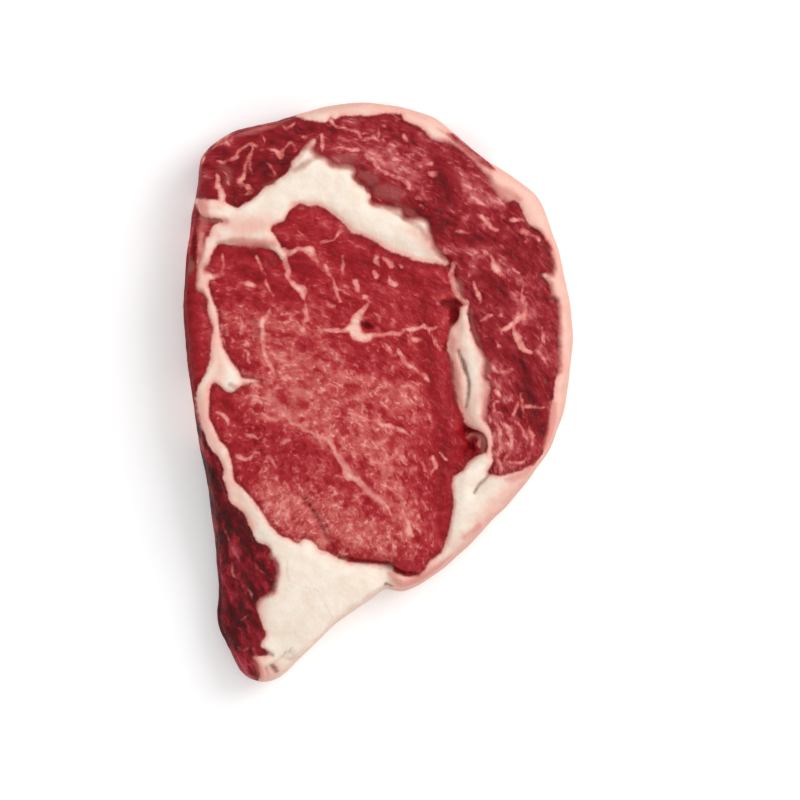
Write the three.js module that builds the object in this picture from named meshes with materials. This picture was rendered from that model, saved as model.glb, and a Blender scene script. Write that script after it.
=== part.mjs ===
// Raw boneless ribeye steak, lying flat on its cut face.
// Units are millimetres and +Z is up. +Y runs along the length, from the narrow tail to the
// broad end, and +X points to the side of the fat rind. The origin is on the surface that the
// steak rests on, under the middle of its outline.

import * as THREE from "three";
import { mergeGeometries, mergeVertices } from "three/addons/utils/BufferGeometryUtils.js";

// Driving dimensions
const LENGTH = 200;
const WIDTH = 134.4;
const THICKNESS = 25;

// Heights and edges, before the whole is brought to its thickness
const MAIN_HEIGHT = 23.2;
const UPPER_EDGE_RADIUS = 5;
const LOWER_EDGE_RADIUS = 4;
const WALL_BULGE = 1.2;
const TAIL_DROP = 4.5;
const BROAD_END_DROP = 1.5;
const DARK_STRIP_DROP = 6.5;
const RIND_DROP = 2.2;

// How finely the surface is divided
const TOP_CELLS = 50;
const UPPER_EDGE_STEPS = 3;
const WALL_STEPS = 2;
const LOWER_EDGE_STEPS = 3;
const OUTLINE_SAMPLES = 2000;
const RIM_STEPS = 4 * TOP_CELLS;
const FINE_STEPS = 1000 * RIM_STEPS;

// The middle of the eye muscle, round which the top is laid out in square rings
const EYE = new THREE.Vector2(-9, -3);

// The outline seen from above, counterclockwise from the right side, as points on the real edge
const OUTLINE_POINTS = [
  [67.2, 18], [65.4, 37], [60.9, 53.5], [54.2, 68.6], [42.5, 77], [31, 85.8], [17.6, 95.9],
  [0, 100], [-18, 98.6], [-34, 94], [-50, 89.9], [-60.3, 82], [-62, 71.5], [-64.7, 55],
  [-66.9, 33], [-65.6, 13], [-62, -13], [-57.4, -40], [-54.8, -66], [-54.9, -80],
  [-50.3, -90.8], [-46, -97.6], [-41, -100], [-34.4, -98.8], [-25.2, -90.9], [-12, -78.2],
  [-1.2, -70.8], [2.8, -68.1], [9.4, -68.7], [21, -62.3], [41, -43], [53.8, -27.8],
  [61.7, -14.6], [65.9, 3.5],
];

// Low domes of muscle and fat: middle, half widths along X and Y, and height
const DOMES = [
  { middle: [-12, 0], halfWidths: [44, 60], height: 1.9 },
  { middle: [49, 18], halfWidths: [16, 52], height: 1.5 },
  { middle: [-4, 85], halfWidths: [58, 15], height: 1.4 },
  { middle: [-8, 58], halfWidths: [44, 16], height: 0.7 },
  { middle: [-24, -70], halfWidths: [26, 20], height: 1.6 },
];

// Seams and creases that cut into the top: depth, half width and route
const GROOVES = [
  { depth: 1.5, halfWidth: 2.8, route: [[-55, 49.5], [-40, 49.5], [-33.5, 45.5]] },
  { depth: 1.3, halfWidth: 2.8, route: [[-34, 57], [-28, 62.5], [-18, 63.5], [-8, 54.5], [24, 43.5]] },
  { depth: 1.3, halfWidth: 2.8, route: [[-50, 65], [-36, 73], [-26, 82], [-9, 77.5], [0, 65], [16, 59]] },
  { depth: 1.9, halfWidth: 2.8, route: [[25, 43], [25, 31], [27, 22], [24.5, 13], [27.2, -2], [31, -12]] },
  { depth: 1.2, halfWidth: 2.2, route: [[28.4, 13], [30.8, 4], [30.2, -6]] },
  { depth: 4.2, halfWidth: 3.4, route: [[31.5, -15], [33, -18], [31, -22]] },
  { depth: 1.6, halfWidth: 2.8, route: [[27, -27], [25, -40], [23, -52], [17, -60]] },
  { depth: 2.2, halfWidth: 2.4, route: [[38.5, -27.5], [33.6, -33.5]] },
  { depth: 1.9, halfWidth: 2.8, route: [[-20.5, -53.5], [-11, -57], [4, -60], [14, -64]] },
  { depth: 3.5, halfWidth: 3, route: [[2.8, -62], [2.8, -70]] },
  { depth: 1, halfWidth: 2.2, route: [[-26, -36], [-20, -46], [-15, -54]] },
  { depth: 0.9, halfWidth: 2.4, route: [[-57, 28], [-54, 18], [-47.5, 5.5]] },
  { depth: 1.6, halfWidth: 3, route: [[-59.5, -15], [-53.5, -28], [-45, -43], [-37, -58], [-41, -76]] },
  { depth: 2.4, halfWidth: 2.6, route: [[-63, 58], [-63, 45]] },
];

// The line along which the dark strip of lean falls away from the fat, from its top to the tail
const DARK_STRIP_EDGE = [[-60, -5], [-52, -30], [-38, -55], [-38, -92]];
const DARK_STRIP_WIDTH = 17;

// The line past which the rind falls away at the lower right, from the notch to the broad part
const RIND_EDGE = [[6, -62], [28, -46], [52, -22], [62, 10]];
const RIND_WIDTH = 12;

function smoothStep(from, to, value) {
  return THREE.MathUtils.smoothstep(value, from, to);
}

// The closed edge of the steak, brought to its exact length and width and centred
function makeOutline() {
  const points = OUTLINE_POINTS.map(([x, y]) => new THREE.Vector3(x, y, 0));
  const curve = new THREE.CatmullRomCurve3(points, true, "centripetal");
  const box = new THREE.Box3().setFromPoints(curve.getPoints(OUTLINE_SAMPLES));
  const size = box.getSize(new THREE.Vector3());
  const middle = box.getCenter(new THREE.Vector3());
  for (const point of curve.points) {
    point.sub(middle);
    point.x *= WIDTH / size.x;
    point.y *= LENGTH / size.y;
  }
  return curve;
}

const outline = makeOutline();

// The directions in which samples of the outline lie from the middle of the eye, in radians.
// They only ever turn on, because every ray from there meets the outline once.
function sampleDirections() {
  const directions = [];
  for (let i = 0; i <= OUTLINE_SAMPLES; i += 1) {
    const point = outline.getPoint(i / OUTLINE_SAMPLES);
    const direction = Math.atan2(point.y - EYE.y, point.x - EYE.x);
    const turned = i > 0 && direction < directions[i - 1] - Math.PI;
    directions.push(turned ? direction + 2 * Math.PI : direction);
  }
  return directions;
}

const directions = sampleDirections();

// The share of the way along the outline's curve at which it lies in a direction
function curveShare(direction) {
  let before = 0;
  let after = OUTLINE_SAMPLES;
  while (after - before > 1) {
    const middle = Math.floor((before + after) / 2);
    if (directions[middle] <= direction) {
      before = middle;
    } else {
      after = middle;
    }
  }
  const gap = directions[after] - directions[before];
  return (before + (direction - directions[before]) / gap) / OUTLINE_SAMPLES;
}

// The point on the edge at a fraction of a turn, moved inwards by an inset. The fraction is
// brought to a fine step of the rim, so that sheets that meet there share their points.
function edgePoint(around, inset) {
  const step = THREE.MathUtils.euclideanModulo(Math.round(around * FINE_STEPS), FINE_STEPS);
  const share = curveShare(directions[0] + (step / FINE_STEPS) * 2 * Math.PI);
  const point = outline.getPoint(share);
  const along = outline.getTangent(share);
  return new THREE.Vector2(point.x - along.y * inset, point.y + along.x * inset);
}

// Distance from a point to a route, positive on the left of the way that the route runs
function sideDistance(x, y, route) {
  let nearest = Infinity;
  let signed = Infinity;
  for (let i = 0; i < route.length - 1; i += 1) {
    const [startX, startY] = route[i];
    const [endX, endY] = route[i + 1];
    const runX = endX - startX;
    const runY = endY - startY;
    const share = ((x - startX) * runX + (y - startY) * runY) / (runX * runX + runY * runY);
    const held = THREE.MathUtils.clamp(share, 0, 1);
    const gapX = x - startX - held * runX;
    const gapY = y - startY - held * runY;
    const distance = Math.hypot(gapX, gapY);
    if (distance < nearest) {
      nearest = distance;
      signed = Math.sign(runX * gapY - runY * gapX) * distance;
    }
  }
  return signed;
}

// The height of the top at a place: a slab that thins out, with its domes and grooves
function topHeight(x, y) {
  let height = MAIN_HEIGHT;
  height -= TAIL_DROP * smoothStep(35, 100, -y);
  height -= BROAD_END_DROP * smoothStep(70, 100, y);
  height -= DARK_STRIP_DROP * smoothStep(0, DARK_STRIP_WIDTH, -sideDistance(x, y, DARK_STRIP_EDGE));
  height -= RIND_DROP * smoothStep(0, RIND_WIDTH, -sideDistance(x, y, RIND_EDGE));
  for (const { middle, halfWidths, height: rise } of DOMES) {
    const acrossX = (x - middle[0]) / halfWidths[0];
    const acrossY = (y - middle[1]) / halfWidths[1];
    const inside = Math.max(0, 1 - acrossX * acrossX - acrossY * acrossY);
    height += rise * smoothStep(0, 1, inside);
  }
  for (const { route, depth, halfWidth } of GROOVES) {
    const away = sideDistance(x, y, route) / halfWidth;
    height -= depth * Math.exp(-away * away);
  }
  return height;
}

// How far round a square a point on its side lies, from 0 to 1, counterclockwise
function wayRoundSquare(x, y) {
  if (Math.abs(y) <= Math.abs(x)) {
    return x > 0 ? 0.125 + y / x / 8 : 0.625 + y / x / 8;
  }
  return y > 0 ? 0.375 - x / y / 8 : 0.875 - x / y / 8;
}

// Splits each cell of a grid along the diagonal whose ends are nearer in height, so that a
// groove that crosses the grid aslant keeps a smooth floor
function splitAlongGrooves(geometry) {
  const height = (vertex) => geometry.attributes.position.getZ(vertex);
  const index = geometry.index;
  for (let cell = 0; cell < index.count; cell += 6) {
    const [a, b, d] = [index.getX(cell), index.getX(cell + 1), index.getX(cell + 2)];
    const c = index.getX(cell + 4);
    if (Math.abs(height(a) - height(c)) < Math.abs(height(b) - height(d))) {
      [a, b, c, a, c, d].forEach((vertex, corner) => index.setX(cell + corner, vertex));
    }
  }
}

// The cut face on top: a square grid whose rings take the form of the outline
function makeTop() {
  const geometry = new THREE.PlaneGeometry(2, 2, TOP_CELLS, TOP_CELLS);
  const position = geometry.attributes.position;
  for (let i = 0; i < position.count; i += 1) {
    const squareX = position.getX(i);
    const squareY = position.getY(i);
    const ring = Math.max(Math.abs(squareX), Math.abs(squareY));
    const around = ring > 0 ? wayRoundSquare(squareX, squareY) : 0;
    const place = edgePoint(around, UPPER_EDGE_RADIUS).lerp(EYE, 1 - ring);
    position.setXYZ(i, place.x, place.y, topHeight(place.x, place.y));
  }
  splitAlongGrooves(geometry);
  return geometry;
}

// The section down the side as inset and height, for an edge whose top lies at a height
function sideSection(height) {
  const section = [];
  const upper = height - UPPER_EDGE_RADIUS;
  for (let step = 0; step <= UPPER_EDGE_STEPS; step += 1) {
    const turn = (step / UPPER_EDGE_STEPS) * (Math.PI / 2);
    const inset = (UPPER_EDGE_RADIUS - WALL_BULGE) * (1 - Math.sin(turn)) + WALL_BULGE;
    section.push([inset, upper + UPPER_EDGE_RADIUS * Math.cos(turn)]);
  }
  for (let step = 1; step < WALL_STEPS; step += 1) {
    const share = step / WALL_STEPS;
    const bulge = Math.sin(share * Math.PI) * WALL_BULGE;
    section.push([WALL_BULGE - bulge, THREE.MathUtils.lerp(upper, LOWER_EDGE_RADIUS, share)]);
  }
  for (let step = 0; step <= LOWER_EDGE_STEPS; step += 1) {
    const turn = (step / LOWER_EDGE_STEPS) * (Math.PI / 2);
    const inset = (LOWER_EDGE_RADIUS - WALL_BULGE) * (1 - Math.cos(turn)) + WALL_BULGE;
    section.push([inset, LOWER_EDGE_RADIUS * (1 - Math.sin(turn))]);
  }
  return section;
}

// The outer side, an open tube wrapped round the outline from the top edge to the base edge
function makeSide() {
  const sideSteps = UPPER_EDGE_STEPS + WALL_STEPS + LOWER_EDGE_STEPS;
  const geometry = new THREE.CylinderGeometry(1, 1, 1, RIM_STEPS, sideSteps, true);
  const position = geometry.attributes.position;
  const uv = geometry.attributes.uv;
  for (let i = 0; i < position.count; i += 1) {
    const around = uv.getX(i);
    const step = Math.round((1 - uv.getY(i)) * sideSteps);
    const rim = edgePoint(around, UPPER_EDGE_RADIUS);
    const [inset, height] = sideSection(topHeight(rim.x, rim.y))[step];
    const place = edgePoint(around, inset);
    position.setXYZ(i, place.x, place.y, height);
  }
  return geometry;
}

// The flat base, a fan round the middle of the eye. Its rim is taken clockwise, so it faces down.
function makeBase() {
  const geometry = new THREE.CircleGeometry(1, RIM_STEPS);
  const position = geometry.attributes.position;
  position.setXYZ(0, EYE.x, EYE.y, 0);
  for (let i = 1; i < position.count; i += 1) {
    const place = edgePoint((1 - i) / RIM_STEPS, LOWER_EDGE_RADIUS);
    position.setXYZ(i, place.x, place.y, 0);
  }
  return geometry;
}

function makeSteak() {
  const sheets = [makeTop(), makeSide(), makeBase()];
  for (const sheet of sheets) {
    sheet.deleteAttribute("normal");
    sheet.deleteAttribute("uv");
  }
  const geometry = mergeVertices(mergeGeometries(sheets), 1e-3);
  geometry.computeBoundingBox();
  geometry.scale(1, 1, THICKNESS / geometry.boundingBox.max.z);
  geometry.computeVertexNormals();

  const material = new THREE.MeshStandardMaterial({ color: 0xa63c40, roughness: 0.4, metalness: 0 });
  const steak = new THREE.Mesh(geometry, material);
  steak.name = "ribeye_steak";
  return steak;
}

const part = new THREE.Group();
part.add(makeSteak());

export default part;
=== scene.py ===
# %% [markdown]
# # A raw ribeye steak
# The object is one slice of beef, cut across the muscles, so its face shows a map: the round
# eye muscle, the darker cap muscle outside it, seams and a rind of fat between and around
# them, and fine marbling inside each muscle. The lesson builds one closed mesh in the form
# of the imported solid, writes that map onto its points, and lets one material paint from it.

import bmesh
import bpy
import numpy as np
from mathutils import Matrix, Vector, noise


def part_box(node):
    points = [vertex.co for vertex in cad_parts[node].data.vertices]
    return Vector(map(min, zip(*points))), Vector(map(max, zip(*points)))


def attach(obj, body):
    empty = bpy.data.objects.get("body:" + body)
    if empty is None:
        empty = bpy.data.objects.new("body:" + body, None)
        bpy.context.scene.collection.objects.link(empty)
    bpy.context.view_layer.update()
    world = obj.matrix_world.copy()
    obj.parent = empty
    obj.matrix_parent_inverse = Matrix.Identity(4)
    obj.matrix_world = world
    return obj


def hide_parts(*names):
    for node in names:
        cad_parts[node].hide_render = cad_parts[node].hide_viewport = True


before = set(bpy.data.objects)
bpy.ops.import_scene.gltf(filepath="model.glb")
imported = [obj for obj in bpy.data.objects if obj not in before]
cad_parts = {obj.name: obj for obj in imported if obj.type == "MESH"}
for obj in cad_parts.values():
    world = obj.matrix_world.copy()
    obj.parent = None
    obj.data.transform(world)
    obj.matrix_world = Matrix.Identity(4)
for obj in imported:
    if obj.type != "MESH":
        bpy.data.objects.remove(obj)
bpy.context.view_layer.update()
MM = 0.001
print("nodes in the frame:", len(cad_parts))
steak_low, steak_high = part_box("ribeye_steak")
steak_size_mm = (steak_high - steak_low) / MM
print("the steak in mm:", [round(value, 1) for value in steak_size_mm])

# %% [markdown]
# ## Smooth routes from a few points
# The edge of a muscle or a vein of fat is a soft line, so it is written as a few points on
# the real slice, in millimetres, and a Catmull-Rom curve is run through them. The curve
# passes through every point, which makes it easy to place what is seen in the right spot.
# The points may have more columns than X and Y, such as a half width, which is smoothed too.

# %% Curves through points
def smooth_route(points, closed, steps):
    """The points of a centripetal Catmull-Rom curve through the given ones."""
    knots = np.array(points, float)
    if closed:
        knots = np.vstack([knots[-1:], knots, knots[:2]])
    else:
        knots = np.vstack([2 * knots[:1] - knots[1:2], knots, 2 * knots[-1:] - knots[-2:-1]])
    share = np.arange(steps)[:, None] / steps
    spans = []
    for before, start, end, after in zip(knots, knots[1:], knots[2:], knots[3:]):
        gaps = [np.linalg.norm((b - a)[:2]) ** 0.5 for a, b in
                ((before, start), (start, end), (end, after))]
        leave = ((start - before) / gaps[0] - (end - before) / (gaps[0] + gaps[1])
                 + (end - start) / gaps[1]) * gaps[1]
        arrive = ((end - start) / gaps[1] - (after - start) / (gaps[1] + gaps[2])
                  + (after - end) / gaps[2]) * gaps[1]
        spans.append(start + share * leave
                     + share ** 2 * (3 * (end - start) - 2 * leave - arrive)
                     + share ** 3 * (2 * (start - end) + leave + arrive))
    if not closed:
        spans.append(knots[-2:-1])
    return np.vstack(spans)


def smooth_step(low, high, value):
    """Goes smoothly from 0 at low to 1 at high."""
    share = np.clip((value - low) / (high - low), 0, 1)
    return share * share * (3 - 2 * share)


print("a smooth step at a quarter of its way:", round(float(smooth_step(0, 1, 0.25)), 3))

# %% [markdown]
# ## The outline
# From above the slice is a broad D with a tapering tail. These points repeat the edge of the
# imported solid, so the fine mesh lands exactly on it. Every ray from the middle of the eye
# muscle meets the outline once, so a direction is enough to name a place on the edge.

# %% The edge of the slice
OUTLINE_POINTS = [
    (67.2, 18), (65.4, 37), (60.9, 53.5), (54.2, 68.6), (42.5, 77), (31, 85.8), (17.6, 95.9),
    (0, 100), (-18, 98.6), (-34, 94), (-50, 89.9), (-60.3, 82), (-62, 71.5), (-64.7, 55),
    (-66.9, 33), (-65.6, 13), (-62, -13), (-57.4, -40), (-54.8, -66), (-54.9, -80),
    (-50.3, -90.8), (-46, -97.6), (-41, -100), (-34.4, -98.8), (-25.2, -90.9), (-12, -78.2),
    (-1.2, -70.8), (2.8, -68.1), (9.4, -68.7), (21, -62.3), (41, -43), (53.8, -27.8),
    (61.7, -14.6), (65.9, 3.5),
]
EYE_MIDDLE = np.array([-9.0, -3.0])
OUTLINE_STEPS = 60

outline = smooth_route(OUTLINE_POINTS, closed=True, steps=OUTLINE_STEPS)
outline_low, outline_high = outline.min(axis=0), outline.max(axis=0)
outline -= (outline_low + outline_high) / 2
outline *= np.array(steak_size_mm[:2]) / (outline_high - outline_low)
outline = np.vstack([outline, outline[:1]])
tangents = np.gradient(outline, axis=0)
tangents[0] = tangents[-1] = outline[1] - outline[-2]
tangents /= np.linalg.norm(tangents, axis=1, keepdims=True)
sight_lines = outline - EYE_MIDDLE
directions = np.unwrap(np.arctan2(sight_lines[:, 1], sight_lines[:, 0]))
print("outline samples:", len(outline), "turning on:", bool((np.diff(directions) > 0).all()))


def edge_places(turn, inset):
    """Places on the edge at fractions of a turn, moved inwards by an inset in millimetres."""
    wanted = directions[0] + (turn % 1) * 2 * np.pi
    place = [np.interp(wanted, directions, outline[:, axis]) for axis in (0, 1)]
    along = [np.interp(wanted, directions, tangents[:, axis]) for axis in (0, 1)]
    return np.stack([place[0] - along[1] * inset, place[1] + along[0] * inset], axis=1)


# %% [markdown]
# ## The sheet of mesh
# A slice is a pillow with two flat faces, so its mesh is three sheets: a fine grid for the cut
# face on top, rings that are extruded down from the grid's edge for the side, and a coarser
# grid for the base. Only the connections are made here. Each point remembers its turn round
# the middle and its ring, and one function gives every point its place afterwards.

# %% Three sheets joined in one mesh
TOP_CELLS = 236
SIDE_RINGS = 20
RIM_RING = 1.0
BASE_RING = 2.0


def square_turn(x, y):
    """How far round a square its points lie, from 0 to 1, counterclockwise."""
    beside = np.abs(y) <= np.abs(x)
    across = np.where(beside, y / np.where(x == 0, 1, x), -x / np.where(y == 0, 1, y))
    side = np.where(beside, np.where(x > 0, 0.125, 0.625), np.where(y > 0, 0.375, 0.875))
    return side + across / 8


sheets = bmesh.new()
turn_layer = sheets.verts.layers.float.new("turn")
ring_layer = sheets.verts.layers.float.new("ring")


def note_square_place(verts, ring_of):
    """Notes each grid point's turn, and the ring that its distance from the middle gives."""
    square = np.array([vert.co[:2] for vert in verts])
    turns = square_turn(square[:, 0], square[:, 1])
    for vert, turn, distance in zip(verts, turns, np.abs(square).max(axis=1)):
        vert[turn_layer] = turn
        vert[ring_layer] = ring_of(distance)


bmesh.ops.create_grid(sheets, x_segments=TOP_CELLS, y_segments=TOP_CELLS, size=1.0)
note_square_place(list(sheets.verts), lambda distance: distance)

rim = [edge for edge in sheets.edges if edge.is_boundary]
for ring in range(1, SIDE_RINGS + 1):
    made = bmesh.ops.extrude_edge_only(sheets, edges=rim)["geom"]
    rim = [item for item in made if isinstance(item, bmesh.types.BMEdge)]
    for vert in made:
        if isinstance(vert, bmesh.types.BMVert):
            vert[ring_layer] = RIM_RING + ring / SIDE_RINGS
print("top and side:", len(sheets.faces), "faces")

# %% The base
# Its grid has half the cells, and its border is then cut in two, so that it meets the side
BASE_CELLS = TOP_CELLS // 2
base = bmesh.ops.create_grid(sheets, x_segments=BASE_CELLS, y_segments=BASE_CELLS, size=1.0)
base_verts = set(base["verts"])
border = [edge for edge in sheets.edges if edge.is_boundary and edge.verts[0] in base_verts]
for edge in border:
    _, middle_vert = bmesh.utils.edge_split(edge, edge.verts[0], 0.5)
    base_verts.add(middle_vert)
note_square_place(list(base_verts), lambda distance: BASE_RING + 1 - distance)
base_faces = [face for face in sheets.faces if face.verts[0] in base_verts]
bmesh.ops.reverse_faces(sheets, faces=base_faces)
print("base:", len(base_faces), "faces")

# %% [markdown]
# ## The height of the cut face
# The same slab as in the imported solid: it thins out to the tail, each muscle swells a little,
# the strip of bare lean falls away on the left, and seams cut in where one muscle meets the
# next. Each is a low dome or a groove that is worked out for all points at once.

# %% Slab, domes and grooves
MAIN_HEIGHT = 23.2
UPPER_EDGE_RADIUS = 5.0
LOWER_EDGE_RADIUS = 4.0
WALL_BULGE = 1.2
TAIL_DROP = 4.5
BROAD_END_DROP = 1.5
DARK_STRIP_DROP = 6.5
DARK_STRIP_WIDTH = 17.0
DARK_STRIP_EDGE = [(-60, -5), (-52, -30), (-38, -55), (-38, -92)]
RIND_DROP = 2.2
RIND_WIDTH = 12.0
RIND_EDGE = [(6, -62), (28, -46), (52, -22), (62, 10)]

# Middle, half widths along X and Y, and height
DOMES = [
    ((-12, 0), (44, 60), 1.9),
    ((49, 18), (16, 52), 1.5),
    ((-4, 85), (58, 15), 1.4),
    ((-8, 58), (44, 16), 0.7),
    ((-24, -70), (26, 20), 1.6),
]

# Depth, half width and route
GROOVES = [
    (1.5, 2.8, [(-55, 49.5), (-40, 49.5), (-33.5, 45.5)]),
    (1.3, 2.8, [(-34, 57), (-28, 62.5), (-18, 63.5), (-8, 54.5), (24, 43.5)]),
    (1.3, 2.8, [(-50, 65), (-36, 73), (-26, 82), (-9, 77.5), (0, 65), (16, 59)]),
    (1.9, 2.8, [(25, 43), (25, 31), (27, 22), (24.5, 13), (27.2, -2), (31, -12)]),
    (1.2, 2.2, [(28.4, 13), (30.8, 4), (30.2, -6)]),
    (4.2, 3.4, [(31.5, -15), (33, -18), (31, -22)]),
    (1.6, 2.8, [(27, -27), (25, -40), (23, -52), (17, -60)]),
    (2.2, 2.4, [(38.5, -27.5), (33.6, -33.5)]),
    (1.9, 2.8, [(-20.5, -53.5), (-11, -57), (4, -60), (14, -64)]),
    (3.5, 3.0, [(2.8, -62), (2.8, -70)]),
    (1.0, 2.2, [(-26, -36), (-20, -46), (-15, -54)]),
    (0.9, 2.4, [(-57, 28), (-54, 18), (-47.5, 5.5)]),
    (1.2, 3.0, [(-59.5, -15), (-53.5, -28), (-45, -43), (-37, -58), (-41, -76)]),
    (2.4, 2.6, [(-63, 58), (-63, 45)]),
]


def side_distance(places, route):
    """Distance to a route in millimetres, positive on the left of the way that it runs."""
    route = np.array(route, float)
    nearest = np.full(len(places), np.inf)
    signed = np.full(len(places), np.inf)
    for start, end in zip(route, route[1:]):
        run = end - start
        share = np.clip((places - start) @ run / (run @ run), 0, 1)
        gap = places - start - share[:, None] * run
        distance = np.hypot(gap[:, 0], gap[:, 1])
        closer = distance < nearest
        nearest = np.where(closer, distance, nearest)
        side = np.sign(run[0] * gap[:, 1] - run[1] * gap[:, 0])
        signed = np.where(closer, side * distance, signed)
    return signed


def top_height(places):
    """The height of the cut face in millimetres, before it is brought to the solid's own."""
    y = places[:, 1]
    height = MAIN_HEIGHT - TAIL_DROP * smooth_step(35, 100, -y)
    height -= BROAD_END_DROP * smooth_step(70, 100, y)
    past_strip_edge = -side_distance(places, DARK_STRIP_EDGE)
    height -= DARK_STRIP_DROP * smooth_step(0, DARK_STRIP_WIDTH, past_strip_edge)
    height -= RIND_DROP * smooth_step(0, RIND_WIDTH, -side_distance(places, RIND_EDGE))
    for middle, half_widths, rise in DOMES:
        across = (places - middle) / half_widths
        inside = np.clip(1 - (across ** 2).sum(axis=1), 0, 1)
        height += rise * smooth_step(0, 1, inside)
    for depth, half_width, route in GROOVES:
        height -= depth * np.exp(-(side_distance(places, route) / half_width) ** 2)
    return height


middle_height = top_height(EYE_MIDDLE[None, :])[0]
print("height of the eye's middle in mm, before it is scaled:", round(float(middle_height), 2))

# %% Every point's place
# The side's section turns over at the rim, bulges and turns in again at the base
def side_section(share, height):
    """Inset and height down the side, for shares from 0 at the rim to 1 at the base."""
    upper_end, lower_start = 0.35, 0.75
    upper = np.clip(share / upper_end, 0, 1) * np.pi / 2
    lower = np.clip((share - lower_start) / (1 - lower_start), 0, 1) * np.pi / 2
    middle = np.clip((share - upper_end) / (lower_start - upper_end), 0, 1)
    shoulder = height - UPPER_EDGE_RADIUS
    inset = np.select(
        [share <= upper_end, share < lower_start],
        [(UPPER_EDGE_RADIUS - WALL_BULGE) * (1 - np.sin(upper)) + WALL_BULGE,
         WALL_BULGE * (1 - np.sin(middle * np.pi))],
        (LOWER_EDGE_RADIUS - WALL_BULGE) * (1 - np.cos(lower)) + WALL_BULGE)
    level = np.select(
        [share <= upper_end, share < lower_start],
        [shoulder + UPPER_EDGE_RADIUS * np.cos(upper),
         shoulder + (LOWER_EDGE_RADIUS - shoulder) * middle],
        LOWER_EDGE_RADIUS * (1 - np.sin(lower)))
    return inset, level


turns = np.array([vert[turn_layer] for vert in sheets.verts])
rings = np.array([vert[ring_layer] for vert in sheets.verts])
on_top = rings <= RIM_RING
on_base = rings >= BASE_RING
rim_places = edge_places(turns, UPPER_EDGE_RADIUS)
base_rim_places = edge_places(turns, LOWER_EDGE_RADIUS)
top_places = EYE_MIDDLE + np.clip(rings, 0, 1)[:, None] * (rim_places - EYE_MIDDLE)
base_places = EYE_MIDDLE + np.clip(BASE_RING + 1 - rings, 0, 1)[:, None] * (base_rim_places - EYE_MIDDLE)
insets, levels = side_section(np.clip(rings - RIM_RING, 0, 1), top_height(rim_places))
flat_places = np.where(on_top[:, None], top_places, edge_places(turns, insets))
flat_places = np.where(on_base[:, None], base_places, flat_places)
heights = np.where(on_top, top_height(top_places), np.where(on_base, 0, levels))
height_scale = steak_size_mm.z / heights.max()
heights *= height_scale
places = np.column_stack([flat_places, heights])
for vert, place in zip(sheets.verts, places):
    vert.co = Vector(place) * MM
bmesh.ops.remove_doubles(sheets, verts=sheets.verts, dist=0.001 * MM)

steak_mesh = bpy.data.meshes.new("ribeye_steak_meat")
sheets.to_mesh(steak_mesh)
sheets.free()
steak = bpy.data.objects.new("steak_meat", steak_mesh)
bpy.context.scene.collection.objects.link(steak)
steak_mesh.shade_smooth()
print("steak:", len(steak_mesh.vertices), "points,", len(steak_mesh.polygons), "faces")

# %% [markdown]
# ## The map of fat and lean
# Fat keeps sharp borders in a cut slice, so each patch of it is one closed border in
# millimetres, read off the face. Where fat reaches the rim the border simply runs past it.
# What is stored on a point is its depth inside the nearest patch, a signed distance. A
# distance stays smooth between the points, so the painted border is finer than the mesh.

# %% The crescent of fat over the eye muscle
CRESCENT_FAT = [
    (-61.5, 66), (-58, 66.2), (-55.5, 66), (-52.5, 65.5), (-50.5, 64.5), (-48, 63.5), (-46.5, 64.5),
    (-44, 66), (-42, 67.5), (-40, 69.5), (-38.5, 71), (-36, 71.8), (-34.5, 73), (-33, 74.2),
    (-31, 75.5), (-30, 77.5), (-29.5, 79), (-28, 80.5), (-25.3, 83.8), (-21.8, 87), (-21.2, 86.2),
    (-23, 83.6), (-20.5, 81), (-18, 80.3), (-16, 78.2), (-13, 77.6), (-9.5, 77.3), (-8, 76),
    (-8.3, 74), (-7.5, 72.5), (-6, 71.5), (-4.5, 70.5), (-3.5, 69), (-2.3, 67.5), (-2.8, 66),
    (-2, 64.8), (0, 64.2), (3, 63.8), (6, 63), (8, 62.5), (8.5, 61), (9, 60), (11, 59.5),
    (15.5, 59.3), (17, 58.5), (17.5, 56), (18, 54), (18.7, 52), (19.5, 50), (21, 48), (22, 46.5),
    (24.5, 44.6), (24, 43.8), (20, 44.6), (14, 45.3), (10, 46.8), (6, 48.2), (4, 49), (0, 51.3),
    (-4, 53.5), (-8.5, 55), (-10, 56.5), (-13, 59.5), (-16, 61.8), (-19.5, 63.8), (-21, 64.5),
    (-24, 64), (-26, 64.8), (-28.5, 64), (-30, 63), (-31, 61), (-32, 59.5), (-34.5, 58), (-36, 57),
    (-36.5, 55.8), (-35.5, 54), (-34, 51.5), (-33, 49), (-31.5, 47.5), (-32.5, 45.5), (-34, 47),
    (-35.5, 48.5), (-38, 49.8), (-41, 50.5), (-50, 50.8), (-54.5, 51), (-56, 49.5), (-57.5, 47),
    (-60, 46.5), (-58.7, 50), (-58, 53.5), (-57, 56.5), (-55.5, 57.8), (-52, 58.8), (-56, 60),
    (-60.5, 61),
]
print("points round the crescent:", len(CRESCENT_FAT))

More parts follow.
